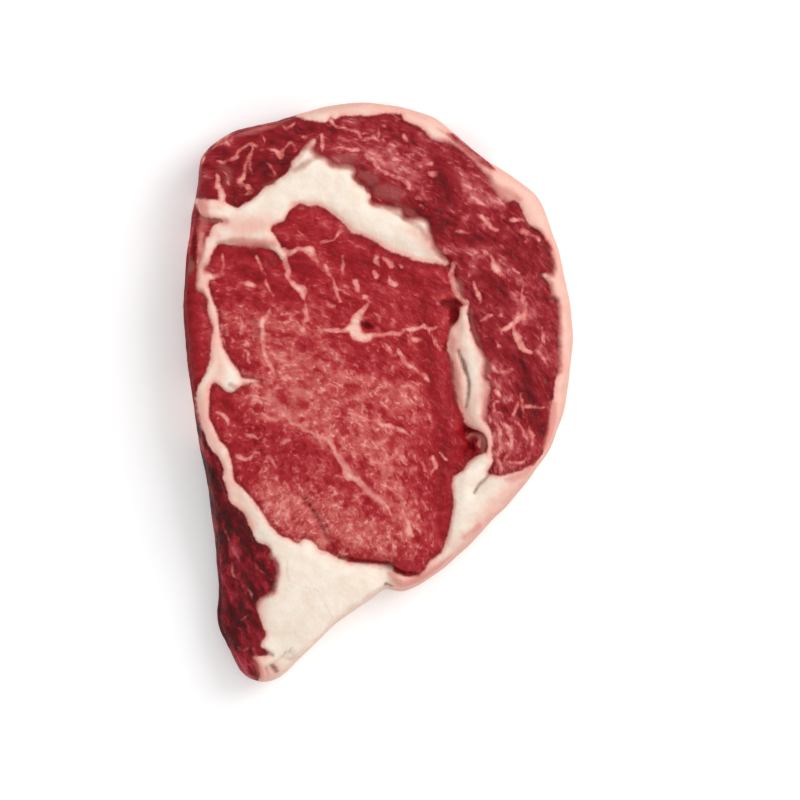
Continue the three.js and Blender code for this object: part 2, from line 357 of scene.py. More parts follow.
# %% The band right of the eye muscle, and the rind below it
RIGHT_BAND_FAT = [
    (31, 30), (31, 27), (31.5, 24), (32, 21), (33, 18.5), (34, 16.5), (35, 14.8), (36, 13),
    (36.8, 11), (36.5, 9), (36.3, 7), (36.5, 5), (38, 3), (38.3, 1), (37.7, -1), (37.2, -4),
    (36.8, -7), (36.3, -9), (37.5, -11), (39, -13.5), (39.3, -16), (39.1, -21), (39.5, -24),
    (37.4, -23), (37.8, -18.5), (37.3, -15.6), (35.4, -13.7), (31.8, -12.3), (30.2, -10), (29.2, -7),
    (28, -4), (27.3, -1), (27, 3), (26.5, 7), (26, 10.5), (25, 12.5), (24.3, 14.5), (24.5, 17),
    (25, 19), (25.5, 21.5), (26.5, 23), (28, 26), (28.3, 29),
]
RIND_FAT = [
    (34.5, -21.5), (32.5, -23), (31, -24.5), (29.5, -26.5), (28, -27.8), (26.5, -29), (25.7, -31),
    (26, -34), (26, -38), (25.5, -42), (24.8, -46), (24.3, -49), (23.5, -52), (22.5, -54), (21, -56),
    (19.5, -57.5), (18, -58.5), (17, -60), (16.2, -61.5), (14, -63.5), (10, -64.5), (5, -65),
    (3, -72), (12, -76), (45, -60), (75, -30), (64, -19), (57, -22.5), (54.2, -24.9), (51.5, -25.9),
    (49.1, -26.9), (46.3, -27.8), (44, -28.3), (42, -28.6), (40, -28.4), (38.2, -27.5), (38.8, -26),
    (39.5, -24), (37.5, -21),
]
print("points round the band:", len(RIGHT_BAND_FAT), " round the rind:", len(RIND_FAT))

# %% The fat along the rim, from the top to the right
RIM_FAT = [
    (-33, 94), (-30, 94.5), (-26, 94.3), (-22, 93.5), (-18, 93), (-16, 95), (-14.5, 94), (-13, 95),
    (-10, 95.3), (-3, 95.2), (-1, 95.8), (3, 96), (8, 95.8), (9, 94), (12, 92.5), (15.5, 90.5),
    (18, 88), (20, 87), (24, 86.6), (27, 85.6), (30.3, 83.6), (33, 80.9), (35.3, 78.2), (37.3, 75.9),
    (39, 73.4), (39.8, 71), (41.2, 69.2), (42.8, 67.6), (44.3, 66.2), (45.6, 65.9), (46.7, 66.3),
    (48, 66), (49, 64.5), (50, 62), (51, 60), (52, 58), (53.5, 56.8), (56, 55.5), (58, 53.5),
    (60, 50.5), (61.2, 46), (61.3, 42), (60.3, 40.2), (57.5, 41), (56.3, 40.3), (58, 39),
    (59.5, 37.5), (60.2, 35), (60.4, 33.3), (62.5, 31.5), (63, 27), (63, 22), (63, 15), (63.3, 10),
    (63, 7), (61.5, 4.5), (61, 2), (61, 0), (60.3, -3), (59.8, -6), (59.3, -10), (59, -14),
    (58.5, -17), (57.5, -21), (61, -27), (76, -20), (78, 40), (66, 76), (40, 102), (0, 112),
    (-34, 106),
]
print("points round the fat along the rim:", len(RIM_FAT))

# %% The thin line on the left and the fat of the tail
LEFT_LINE_FAT = [
    (-56.5, 52), (-57.3, 47.5), (-58.3, 44.6), (-60, 42.6), (-59.3, 41.2), (-57, 40.5), (-56.6, 39.5),
    (-58, 38), (-57.5, 34), (-56.5, 31), (-55.3, 28), (-54.8, 24), (-54, 20), (-53.2, 16),
    (-52, 13.5), (-50.5, 11), (-49, 9), (-47.5, 7), (-46.8, 5.3), (-44, 4.5), (-40.5, 3.7),
    (-46.1, 2.9), (-47.9, 1.5), (-50.6, 0.2), (-52.7, 0.9), (-55, 2.9), (-56.5, 3.3), (-57.8, 1),
    (-58, -4), (-58, -8), (-57, -10.5), (-56, -13), (-55, -15), (-53.5, -17.5), (-52, -19),
    (-51, -21), (-50.5, -23.5), (-50, -26), (-49.3, -30), (-48, -31.5), (-46, -33.5), (-44, -35.5),
    (-42, -38), (-40.5, -40), (-39, -42.5), (-37.5, -45), (-35, -47.5), (-32.5, -49.5), (-29, -51.5),
    (-30, -57), (-36, -57), (-37, -54), (-38, -52.7), (-40, -52), (-42, -50.5), (-43, -48),
    (-44, -45.5), (-45, -43), (-46.5, -41), (-48.5, -39.3), (-50.5, -37.8), (-51.2, -36),
    (-51.8, -33.5), (-52.5, -31), (-53.2, -29), (-52.8, -26.5), (-54, -24), (-55.5, -21.5),
    (-57, -20), (-58.3, -18), (-59.3, -15), (-60.2, -12), (-60.8, -9), (-61.5, -6), (-62, 1),
    (-60.5, 4), (-58.8, 7.5), (-57.5, 11), (-57, 17), (-56.5, 22), (-57, 24), (-58, 26.5),
    (-58.5, 29), (-58.3, 31), (-58.8, 33), (-60, 34.5), (-62, 35.5), (-61.9, 40.4), (-61.4, 45),
    (-60, 49), (-59, 53), (-57.5, 54),
]
TAIL_FAT = [
    (14, -63.5), (10, -63.5), (8, -62.7), (6, -62.2), (5, -61), (4.5, -60), (2, -59.7), (0, -59.3),
    (-5, -58.8), (-10, -58.3), (-13, -57.2), (-15, -55.8), (-17, -55), (-20, -54), (-21, -52.5),
    (-24, -50.5), (-26, -50.8), (-27, -52), (-29.5, -51.5), (-33, -53), (-36, -56), (-34.3, -59),
    (-34, -63), (-35, -66), (-35.5, -68.5), (-38, -70), (-39.8, -71), (-41, -73), (-41.5, -75),
    (-40.8, -77), (-40, -79), (-39.5, -81), (-38.5, -83.5), (-39.8, -85.5), (-40.2, -87.5),
    (-39, -88.7), (-37.8, -90.2), (-40.6, -91), (-43.3, -91.2), (-41.5, -93), (-40.5, -96),
    (-40.3, -104), (-28, -106), (0, -84), (12, -74), (12, -66),
]
FAT_BORDERS = [CRESCENT_FAT, RIGHT_BAND_FAT, RIND_FAT, RIM_FAT, LEFT_LINE_FAT, TAIL_FAT]
print("patches of fat:", len(FAT_BORDERS), "with", sum(map(len, FAT_BORDERS)), "points")

# %% [markdown]
# ## Marbling
# Marbling is fat between the bundles of one muscle, drawn out into short branching veins, so
# each vein is a route, with X, Y and a half width in millimetres at each point. Only the veins
# that can be told apart are drawn. The finest marbling is left to noise in the material.

# %% Veins in the upper half of the eye muscle
UPPER_EYE_VEINS = [
    [(-20.8, 21.3, 0.3), (-15, 21.4, 0.7), (-11, 21.7, 1), (-8, 22, 1.9), (-7, 20, 1.9),
     (-4, 18.7, 1.2), (-1.5, 19.3, 0.7), (3, 20.2, 0.45), (8.5, 20.4, 0.35)],
    [(-8, 22.5, 1.6), (-7.3, 25, 1.3), (-5.5, 27.5, 1), (-4, 30.2, 0.6)],
    [(8.8, 21.5, 0.3), (13.5, 22.2, 0.6), (19, 22, 0.4), (22, 22.4, 0.2)],
    [(-32.4, 48.3, 1.1), (-32, 44.8, 0.8), (-31, 41.4, 0.7), (-30, 38.9, 0.5), (-27.9, 36.9, 0.8),
     (-26, 35.2, 1.5), (-25.4, 33, 0.8), (-24.9, 31, 0.3), (-24.6, 27.7, 0.7), (-24.6, 25, 0.6),
     (-25.1, 23.2, 0.2), (-25.6, 21.8, 0.9)],
    [(-32, 47.9, 0.8), (-28.3, 49, 0.5), (-25.5, 49.2, 0.5), (-22.6, 48.4, 0.9), (-21.3, 45.7, 0.4),
     (-20.6, 42.8, 0.1)],
    [(-42, 47, 0.1), (-40, 43.5, 0.3), (-38.4, 40, 0.2)],
    [(-11.8, 47.5, 0.1), (-11.8, 43.5, 0.3), (-11.4, 41, 0.1)],
    [(-46.6, 27.5, 0.1), (-46.4, 23, 0.3), (-47, 18.5, 0.1)],
    [(-54.3, 24, 0.1), (-53.2, 19.5, 0.3), (-51.6, 15, 0.1)],
    [(-17.5, 31.8, 0.1), (-16.3, 30.2, 0.3), (-13.8, 29.6, 0.1)],
    [(-19.7, 51, 0.3), (-16.2, 52.4, 0.5), (-13.5, 54.8, 0.5), (-11.8, 55.5, 0.3)],
    [(-36.9, 28.5, 0.2), (-38.2, 26, 0.6), (-40, 23.6, 1.1), (-39.3, 19.8, 0.7), (-39.3, 16.3, 0.6),
     (-38.6, 12.9, 0.6), (-37.5, 10.5, 0.6), (-35.8, 7, 0.5), (-34.8, 4.3, 0.3)],
    [(-42.2, 23.3, 0.3), (-39.8, 23.8, 0.5)],
    [(-47.3, 37.4, 0.1), (-44.6, 37.2, 0.8), (-43, 36.8, 0.5)],
    [(-38.3, 38.5, 0.3), (-37.3, 36.5, 0.4), (-36, 33.5, 0.3)],
    [(-18.6, 43.8, 0.3), (-16.2, 39.7, 0.4), (-14.2, 35.2, 0.5), (-12.5, 31.4, 0.4)],
    [(-7.6, 38.3, 0.7), (-6.8, 35, 0.6)],
    [(-4.4, 32.8, 0.5), (-3.6, 32.8, 0.5)],
    [(-0.9, 40.6, 0.7), (-0.5, 40, 0.6)],
    [(4.4, 38.6, 0.4), (5.6, 37.4, 0.9), (6.8, 37.2, 0.5)],
    [(20.4, 31.4, 0.3), (21.6, 30.6, 0.6)],
    [(-57.5, 39.5, 0.5), (-55, 40.2, 0.4), (-52, 40.7, 0.3)],
    [(-53, 47, 0.3), (-52.7, 44, 0.3), (-53, 41, 0.2)],
    [(-46, 15, 0.3), (-44.5, 13.5, 0.5), (-44.3, 11, 0.3)],
    [(7.5, 13.9, 0.7), (8.2, 11.9, 0.7), (11.3, 8.8, 0.5), (14.7, 6.7, 0.5), (16.8, 5.3, 0.7),
     (18.1, 3.6, 0.3)],
    [(4.6, 12.4, 0.3), (5.8, 12.6, 0.5)],
    [(15.6, 11.4, 0.3), (17.2, 11.5, 0.4)],
    [(0.2, 47.5, 0.3), (-0.3, 44.5, 0.4), (0.8, 43, 0.2)],
    [(1.8, 46.6, 0.3), (4, 45, 0.5), (5.3, 42.6, 0.3)],
    [(7.5, 43.4, 0.4), (8.5, 43.4, 0.3)],
    [(-1.5, 27.6, 0.3), (0.2, 26.4, 0.4), (0.9, 24.5, 0.2)],
    [(10, 19.6, 0.2), (13, 18.2, 0.4), (16, 17, 0.2)],
    [(17.5, 20.8, 0.2), (20, 18.5, 0.4), (21, 15, 0.2)],
    [(2.5, 17, 0.2), (4.3, 15, 0.4), (5, 13, 0.3)],
]
print("veins in the eye's upper half:", len(UPPER_EYE_VEINS))

# %% Veins in the lower half of the eye muscle
LOWER_EYE_VEINS = [
    [(-46, 3, 0.6), (-42, 3, 0.5), (-39.6, 1.5, 0.3)],
    [(-33.5, -5, 0.4), (-32, -7.5, 0.5), (-30, -9, 0.6), (-28.5, -11, 0.5), (-26.5, -12, 0.5),
     (-24, -13, 0.6), (-22, -14, 0.5), (-19, -15.5, 0.7), (-16.5, -17, 0.8), (-15, -19, 0.6),
     (-14, -21.5, 0.6), (-12.5, -23.5, 0.7), (-11, -25.5, 0.9), (-10, -28, 1.2), (-7.5, -29.8, 1),
     (-4.5, -32.3, 0.8), (-2, -35, 0.8), (1.5, -37.3, 0.7), (3.5, -39.8, 0.5), (5, -42.5, 0.4)],
    [(2, -32, 0.3), (5, -34, 0.4), (8, -36, 0.3)],
    [(-42, -2.5, 0.6), (-40.5, -3.8, 0.4)],
    [(-39.5, -7, 0.3), (-38, -8.3, 0.5), (-35, -9.8, 0.3)],
    [(-10, -7, 0.3), (-6, -8.5, 0.5), (-2, -9.5, 0.5), (2, -11, 0.5), (5, -12, 0.6), (7, -13, 0.5),
     (10, -14, 0.4), (12, -16, 0.3)],
    [(-2, -23, 0.3), (1, -24.3, 0.4), (4, -24, 0.3)],
    [(6, -20, 0.3), (8, -22, 0.4), (10, -24.5, 0.3)],
    [(22, -21, 0.3), (24, -23, 0.4)],
    [(15, -37, 0.4), (17, -40, 0.3)],
    [(15, -24, 0.3), (16.5, -26.5, 0.4)],
    [(19, -22, 0.3), (20, -25, 0.4), (19, -27, 0.3)],
    [(-30.5, -39.5, 0.3), (-31.2, -42, 0.5), (-30, -44.5, 0.3)],
    [(-37, -38.4, 0.4), (-36, -38.6, 0.4)],
    [(11, -50.5, 0.3), (12, -53, 0.4)],
    [(9, -41, 0.4), (10, -44, 0.6), (10.5, -47, 0.9), (12, -49.3, 0.6)],
    [(14, -42, 0.4), (16, -45, 0.3)],
    [(-55, -6.5, 0.5), (-52.5, -8.5, 0.5), (-51.8, -10, 0.3)],
    [(-46, -14.5, 0.3), (-43, -15, 0.5), (-41, -16, 0.3)],
    [(-33, -17.5, 0.3), (-30, -16.5, 0.4)],
    [(-48, -21.5, 0.4), (-45, -23, 0.5), (-43, -22, 0.3)],
    [(-42, -20.5, 0.3), (-40, -20.5, 0.4)],
    [(-38, -22, 0.3), (-36, -24, 0.4), (-34.5, -26, 0.3)],
]
print("veins in the eye's lower half:", len(LOWER_EYE_VEINS))

# %% Veins in the cap muscle, over the crescent
CAP_TOP_VEINS = [
    [(-16, 94, 0.5), (-14, 91.5, 0.5), (-12, 91, 0.4), (-9, 90, 0.5), (-6.5, 89, 0.5),
     (-4.5, 87, 0.5), (-2, 87.5, 0.5), (0, 86.5, 0.3)],
    [(0, 90.5, 0.3), (0.5, 88.5, 0.4)],
    [(1.5, 92, 0.4), (3, 91.5, 0.3)],
    [(9, 88, 0.4), (10.5, 87, 0.3)],
    [(-16, 83.5, 0.3), (-12, 84, 0.4), (-6, 83.5, 0.3)],
    [(-4, 81.5, 0.4), (-2, 80, 0.5), (0, 78, 0.5), (2, 76, 0.5), (4, 75, 0.4), (8, 73.5, 0.4),
     (9.5, 72, 0.5), (11, 70.8, 0.4), (13, 69.5, 0.3)],
    [(-40, 83.2, 0.1), (-36, 83, 0.3), (-34.5, 83, 0.6), (-33.2, 81.8, 0.7)],
    [(-33.3, 82.3, 0.5), (-31.7, 84, 0.5), (-30, 85.4, 0.3), (-28.3, 83.6, 0.1)],
    [(-32.3, 91.2, 0.3), (-31.2, 90.6, 0.4)],
    [(-29.8, 91.3, 0.3), (-28.6, 92.2, 0.3)],
    [(-37.2, 79.2, 0.2), (-36.2, 77.3, 0.3), (-35.5, 74.8, 0.1)],
    [(-43.4, 80, 0.2), (-43.9, 77.5, 0.3), (-43.2, 75.5, 0.1)],
    [(-46.5, 68.2, 0.1), (-44, 68.8, 0.3), (-42.5, 69.7, 0.2)],
    [(-53.3, 76, 0.1), (-51.8, 74.5, 0.3), (-50.8, 71.8, 0.2)],
    [(-39.3, 88.8, 0.1), (-38.4, 86.4, 0.3), (-38.9, 84.6, 0.1)],
    [(-26.5, 89.5, 0.1), (-24.8, 88.2, 0.3), (-22.5, 88.4, 0.1)],
    [(-55.4, 74.3, 0.4), (-55.2, 72.5, 0.6), (-54.4, 70, 0.8), (-53.8, 67.5, 1.3), (-53.6, 65.5, 1.5)],
    [(-55.5, 79.2, 0.3), (-53.5, 78.9, 0.4), (-51.5, 79.2, 0.15), (-50, 79.8, 0.2), (-48.8, 81, 0.35),
     (-47.4, 83.1, 0.3), (-45.4, 84.9, 0.3), (-43, 85.3, 0.3), (-41, 85, 0.1)],
    [(-47.2, 72.2, 0.3), (-46.4, 74, 0.4), (-46, 76, 0.45), (-45.3, 78, 0.4), (-44.3, 80, 0.5),
     (-43.3, 82.2, 0.45), (-42.8, 84, 0.3)],
    [(-47.2, 72.2, 0.3), (-46.3, 71, 0.3), (-45, 70.9, 0.2), (-43.8, 70.4, 0.75), (-43.3, 69.7, 0.4)],
    [(-54, 85.2, 0.3), (-51, 85.6, 0.4)],
    [(-19, 88.5, 0.3), (-18.8, 85, 0.5), (-19, 82.5, 0.3)],
]
print("veins over the crescent:", len(CAP_TOP_VEINS))

# %% Veins in the cap muscle, down the right side
CAP_SIDE_VEINS = [
    [(33.5, 38, 0.3), (34.3, 34.8, 0.8), (35.5, 31, 0.3)],
    [(26.6, 55, 0.2), (29, 55, 0.4), (31.5, 55, 0.2)],
    [(55, 14.5, 0.3), (57, 12, 0.3), (58.2, 9, 0.2)],
    [(39, 26.5, 0.4), (37.3, 25.6, 0.4), (35.5, 24.6, 0.3)],
    [(41, 15.6, 0.5), (41.8, 15.5, 0.3)],
    [(38.6, 9.6, 0.3), (40.3, 8, 0.5), (42.3, 6.5, 0.4), (46, 7.5, 0.2)],
    [(43, -2.4, 0.3), (40.6, -4.2, 0.4), (40, -6.8, 0.4)],
    [(48, -4, 0.4), (47, -7.6, 0.4)],
    [(49.4, 0, 0.2), (50, -4.5, 0.4), (50.3, -8.5, 0.2)],
    [(50, -4.6, 0.35), (54, -5, 0.25), (57, -5.1, 0.1)],
    [(47.5, -9.5, 0.2), (49.5, -12, 0.4), (51, -16, 0.3), (51.5, -19, 0.2)],
    [(50.5, 37, 0.3), (50, 32, 0.5)],
    [(6.3, 82.2, 0.5), (6.8, 81.8, 0.4)],
    [(17.3, 78.6, 0.4), (19.2, 79, 0.5)],
    [(17.8, 75.3, 0.4), (19.8, 75, 0.5)],
    [(14.8, 64, 0.5), (15.3, 63.6, 0.4)],
    [(34.5, 60.7, 0.4), (36, 60, 0.7), (38, 58.5, 0.6), (41, 56, 0.3)],
    [(45.6, 59, 0.4), (47.8, 59.1, 0.6), (50, 59, 0.4)],
    [(50, 56, 0.4), (52, 54.7, 0.5), (54, 53.5, 0.5), (56, 52.5, 0.3)],
    [(37, 49, 0.4), (38.5, 47, 0.6), (40, 46, 0.5), (40.2, 43, 1), (41.5, 41.5, 0.9),
     (43.5, 39.3, 0.4)],
    [(51.1, 30.8, 0.3), (50.4, 26.6, 0.5), (48, 24.9, 0.6), (46.3, 23.2, 0.7), (42.2, 21.8, 0.4)],
    [(47, 23.2, 0.6), (48.4, 18.7, 0.7), (50.4, 14.6, 0.8), (53.2, 13.9, 0.5)],
    [(40.4, 0.2, 0.5), (41.6, -0.2, 0.7)],
    [(40.5, -10.5, 0.4), (41.5, -13, 0.6), (42.6, -17.5, 0.6), (42, -21, 0.4), (42.3, -26, 0.5),
     (42, -28.5, 0.2)],
    [(43.4, -11, 0.4), (45, -13.5, 0.6), (46.4, -16.5, 0.6), (45.8, -19.5, 0.4), (44.6, -22.5, 0.3)],
    [(39.6, -13.5, 0.2), (39.8, -17, 0.4), (40, -21, 0.3)],
    [(52, -11.5, 0.2), (53, -14, 0.4), (53.5, -17.5, 0.2)],
    [(46, -24, 0.3), (49, -24.5, 0.4), (52, -23.5, 0.2)],
    [(56.5, 22, 0.3), (57.5, 17, 0.3)],
]
print("veins down the right side:", len(CAP_SIDE_VEINS))

# %% Thin seams at the rim, and veins and painted highlights in the bare strip
RIM_VEINS = [
    [(25.3, 43.8, 0.7), (26, 40, 0.9), (26.5, 36, 1), (27.5, 33.5, 0.9), (30.8, 30, 0.8)],
    [(58.2, 55, 0.4), (62.2, 47.5, 0.8), (63, 42, 0.8), (62.3, 37, 0.8)],
    [(-60.8, 79.5, 0.7), (-58.3, 84, 1.2), (-54, 87.2, 1.3), (-50, 88.8, 0.6)],
    # The light streak along the hook's curled lip is a painted highlight
    [(31.4, -15.8, 0.5), (32.6, -15, 0.5), (34.8, -16, 0.3), (35.3, -18.5, 0.3)],
    [(-60.5, 55, 0.5), (-60.6, 50, 0.7), (-61.2, 45, 0.6)],
]
# Thin pink lines on the wet bare strip: partly fine veins, partly painted highlights
STRIP_VEINS_AND_HIGHLIGHTS = [
    [(-53, -47, 0.1), (-50.5, -53, 0.2), (-47.5, -58, 0.1)],
    [(-50.2, -59, 0.1), (-49.8, -62, 0.4), (-48.2, -64.5, 0.1)],
    [(-43, -58.5, 0.1), (-39.5, -61.6, 0.2), (-36, -65, 0.1)],
    [(-46.5, -66, 0.1), (-43.7, -69, 0.4), (-43, -71.5, 0.1)],
    [(-47.7, -78.2, 0.1), (-44, -77.2, 0.25), (-40.5, -78.4, 0.1)],
    [(-48.5, -88.3, 0.1), (-45, -88.2, 0.3), (-42, -88.6, 0.1)],
]
EYE_VEINS = UPPER_EYE_VEINS + LOWER_EYE_VEINS
MARBLING_AND_HIGHLIGHTS = EYE_VEINS + CAP_TOP_VEINS + CAP_SIDE_VEINS + RIM_VEINS + STRIP_VEINS_AND_HIGHLIGHTS
print("veins in all:", len(MARBLING_AND_HIGHLIGHTS))

# %% [markdown]
# ## Other marks on the face
# Everything else that can be pointed at on the face is drawn with the same kind of strokes:
# lean that lies over the fat, slits, deeper and paler lean, painted shade where the face falls
# away, painted highlights on the bare strip, thin films of fat, brown painted shade in the
# hollows, and fat that blushes pink. The material widens and blurs them, so a half width below
# zero still gives a faint mark.

# %% Lean over the fat, and slits and folds
LEAN_STROKES = [
    [(24.6, 88.7, 0.4), (27.6, 86.9, 1.2), (31.1, 84, 1.4), (35, 80.9, 1.5), (38.8, 78, 1.1),
     (41.3, 76.3, 0.3)],
    [(-60.5, 52, 0.3), (-59.8, 56.5, 0.8), (-57, 59.2, 0.5), (-53.5, 59, 0.3)],
    [(-60, 66.8, 0.3), (-57, 66.9, 0.6), (-55, 66.6, 0.3)],
]
# Slits and folds sink the face, and the dark colour that they get is painted shade
CREASES = [
    [(22, 31, 0.6), (25.5, 30.6, 1.5), (28, 30.5, 0.6)],
    [(25.8, 30, 1.3), (26.5, 26, 1.2), (25.5, 23.5, 0.4)],
    [(-5, 23.8, 0.9), (-3.5, 23, 1.1), (-2, 22.6, 0.6)],
    [(27.8, 14.5, 0.3), (28.7, 12, 0.5), (29.5, 10, 0.7), (30.3, 7.5, 0.6), (31.3, 5, 0.4),
     (31.6, 2, 0.3), (31.3, -1, 0.3), (30.5, -5, 0.2)],
    [(30.5, -13.3, 0.4), (33, -13.4, 0.1), (36.2, -14.2, -0.1), (37.4, -17, -0.1), (37, -20, -0.1)],
    [(32, -17.6, 0.6), (32.8, -19.4, 0.6)],
    [(38.5, -28, 0.3), (37, -30, 0.4), (35, -31.8, 0.4), (33.4, -34.5, 0.2)],
    [(53, 56.7, 0.4), (56, 55, 0.6), (57.5, 53.2, 0.4)],
    [(60.5, 32.6, 0.5), (61.7, 31.4, 0.6)],
    [(-26, -36, 0.1), (-22, -40.5, 0.2), (-20, -44.5, 0.3), (-17, -50.5, 0.25), (-14.5, -54, 0.2)],
    [(-13, -56.4, 0.3), (-6, -58, 0.4), (1, -58.9, 0.4), (5, -60.2, 0.6), (8, -61.9, 0.5),
     (14, -62.6, 0.4)],
    [(3, -66, 0.4), (5.3, -67.2, 0.5)],
    [(-38.8, -88.9, 0.5), (-36, -90.5, 0.4)],
    [(-36.3, -94.3, 0.6), (-34.4, -96.6, 0.5)],
    [(-63.6, 57, 0.7), (-63.2, 51, 1), (-63.4, 46, 0.6)],
]
print("lean over the fat:", len(LEAN_STROKES), " slits and folds:", len(CREASES))

# %% Lean that is deeper in colour, and painted shade where the face falls away
DARK_STROKES = [
    # The hollow by the hook of fat is darkened: painted shade in the recess
    [(29.5, -8, 1), (30.5, -14, 1.6), (32, -18.5, 2.2), (30.5, -22, 1.6), (27.5, -26, 0.6)],
    [(-52, 47, 1), (-44, 47.5, 2.5), (-36, 45, 1.5)],
    [(-46, 42, 2), (-40, 40, 2)],
    [(-31, 42, 1), (-27, 44.5, 2), (-24, 42, 1.5)],
    [(-35, 36, 1), (-30, 33, 1.5)],
    [(6, 40, 1), (15, 38, 2), (22, 35, 1)],
    [(44, 13, 1.5), (50, 10, 2.5), (52, 2, 3), (54, -7, 2), (57, -15, 1.5)],
    [(-33, -0.5, 0.5), (-31.6, -2.8, 0.8)],
    [(-26.5, -3.5, 0.8), (-24.5, -4.2, 0.5)],
    # The lean beside the band's left seam is darkened: painted shade where the eye dips into the seam
    [(27, 24, 0.2), (25.3, 10, 0.8), (25.6, 0, 1.2), (27.5, -8, 1)],
    [(15.2, -64, 0.7), (15.8, -64.2, 0.6)],
    [(17, 59, 1.4), (20, 57, 2.2), (23, 54.5, 1.4)],
    [(27, 54, 1.5), (32, 53, 2.2), (37, 53, 1.5)],
    [(20.5, 78, 1.2), (23, 72, 2.6), (25, 66, 1.6)],
    [(10.5, 64.5, 0.8), (13.5, 62.5, 1.2), (16.5, 61, 0.8)],
    [(46, 47, 0.7), (50, 45.5, 1.1), (53, 44, 0.6)],
    [(36, 40, 0.6), (40, 38, 1), (43, 34.5, 1), (45, 31, 0.6)],
    [(-55, 83.3, 1), (-52, 82.3, 1.5), (-53.5, 81, 0.8)],
    [(-43.5, 84.3, 1), (-46.3, 81.5, 1.3), (-47.6, 77, 1.4)],
    [(-50.9, 78, 1), (-50.2, 75.5, 1.2), (-52.5, 73, 0.4)],
    [(-44.5, 73.5, 1.5), (-41.5, 77.5, 2.6), (-38, 78.5, 3), (-39, 73.5, 2.6)],
    [(-35.5, 79, 2), (-31.5, 80.5, 2.6), (-33, 76, 1.8)],
    [(-36.5, 86.5, 1.5), (-33, 87.5, 1.6), (-28.5, 88.8, 1.3), (-27.5, 91, 0.8)],
    [(-26.5, 91.8, 1.2), (-23.5, 92, 1)],
    [(-49.3, 69, 1.8), (-48.8, 65.2, 1.8), (-45, 68, 1.2)],
    [(-58, 69, 1), (-56, 67.4, 1)],
    [(-46, 87.6, 0.2), (-42.5, 88, 0.8), (-38, 88.5, 0.5)],
    [(-33.5, 51.5, 1), (-31, 49.2, 1.3), (-28, 48.7, 0.5)],
    [(4, 47.5, 0.8), (12, 44.4, 0.7), (20, 43.2, 0.5), (24.5, 42, 0.8)],
    [(-7, 53, 0.6), (-1, 50.4, 0.6), (4, 47.5, 0.7)],
    # The left side and its rounded edge are darkened: painted shade, as they face away from the lamp
    [(-65, 45, 2.5), (-66, 30, 3.5), (-65, 10, 3.5), (-61, -12, 2.5)],
    [(-19, 55, 0.5), (-14, 47, 1.5), (-6, 45, 2.5), (3, 43.5, 2), (12, 42, 1.5)],
    [(16, 32, 1.5), (18, 12, 2), (20, -4, 1.4), (23, -18, 2), (22, -34, 2), (22, -50, 0.5)],
    [(-53, -3, 2), (-48, -8, 1)],
    [(-60, -24, 2), (-55, -36, 4), (-52, -46, 2)],
    # The strip's left edge is darkened: painted shade where it slopes away from the light
    [(-54.5, -66, 1), (-54.5, -80, 1.5), (-50, -88, 0.5)],
    [(-51, -40, 1), (-47, -46, 3.5), (-43, -54, 4), (-41.5, -61, 2)],
    [(-53.5, -45, 1), (-52.5, -53, 2), (-53, -60, 0.5)],
    [(-50, -75, 0.5), (-49, -82, 1)],
]
print("deeper places:", len(DARK_STROKES))

# %% Bruised-looking lean, and brown shade in the hollows
MAUVE_STROKES = [
    [(1, 69.3, 2.2), (6.5, 68.2, 2)],
    [(-6, 75, 1), (-2, 73.5, 2)],
    [(-15, 80.5, 0.8), (-9, 80, 1.2)],
    [(-42, 25, 0.7), (-41.3, 21, 1), (-41, 17.5, 0.8)],
    [(-54, 77.3, 0.5), (-51, 76.5, 0.3), (-51.5, 72, 0.8)],
    [(7, 64.6, 0.6), (11, 61.6, 0.8), (14.5, 58.2, 0.6)],
]
SHADE_STROKES = [
    [(-28.3, 76.4, 0.9), (-25, 78.5, 1.1), (-21, 80.8, 0.8)],
    [(-55, 51.6, 0.5), (-50, 52.4, 0.5), (-46, 52.6, 0.1)],
    [(-16.3, 78.5, 0.5), (-12, 77.7, 0.7), (-8.6, 77.2, 0.5)],
    [(-8.6, 74.5, 0.5), (-6.2, 71.8, 0.5), (-3.2, 69.2, 0.5)],
    [(3, 63.5, 0.4), (8.5, 60.3, 0.7), (12, 58, 0.8), (14.5, 56.5, 1), (17.5, 53, 0.9)],
    [(19, 50.3, 0.8), (21, 48.2, 0.9), (23, 46, 0.5)],
    [(27.6, 39, 0.5), (28.6, 35.5, 0.8), (29.2, 32.5, 0.5)],
    [(-39, 71.2, 0.4), (-35.5, 72.3, 0.6)],
    [(20.5, 90.6, 0.1), (23, 89.4, 0.4), (25, 88.8, 0.1)],
    [(-60, 60, 0.7), (-56.5, 59.5, 1), (-52, 58.8, 0.6)],
    [(28, 14, 0.1), (29.6, 10, 0.4), (31, 5, 0.5), (31.5, 0, 0.6), (30.6, -6, 0.2)],
    [(25.6, 24, 0.2), (25.2, 17, 0.5), (25.8, 10, 0.6), (27, 3, 0.5), (28.4, -4, 0.3)],
    [(-64.2, 46.5, 0.8), (-64.4, 43, 1.2), (-64.6, 40.5, 0.4)],
    [(-46, 91.2, 0.3), (-40, 92.1, 0.8), (-34, 93.6, 0.9)],
    [(31.4, -15.6, 0.5), (33, -14.7, 0.9), (35.4, -15.2, 1), (36.4, -17.5, 1), (36, -20.5, 0.8)],
    [(32, 28.5, 0.5), (32.5, 24, 0.7), (34, 19, 0.6), (35.6, 15.5, 0.4)],
    [(37.6, 12, 0.5), (37.8, 8, 0.8), (37.3, 4.5, 0.4)],
    [(59.6, 52, 0.5), (61, 47, 0.8), (61.6, 42, 0.5)],
    [(-50.5, 2.7, 0.7), (-47.8, 1.2, 0.8)],
    [(-31, -58, -0.2), (-30.5, -64, -0.2), (-28, -65.7, -0.1), (-20, -68.2, -0.2)],
    [(-18.4, -71.5, -0.3), (-15.5, -77.5, -0.1)],
    [(-33, -91, 0.1), (-29, -92, 0.5)],
]
print("bruised places:", len(MAUVE_STROKES), " shaded places:", len(SHADE_STROKES))
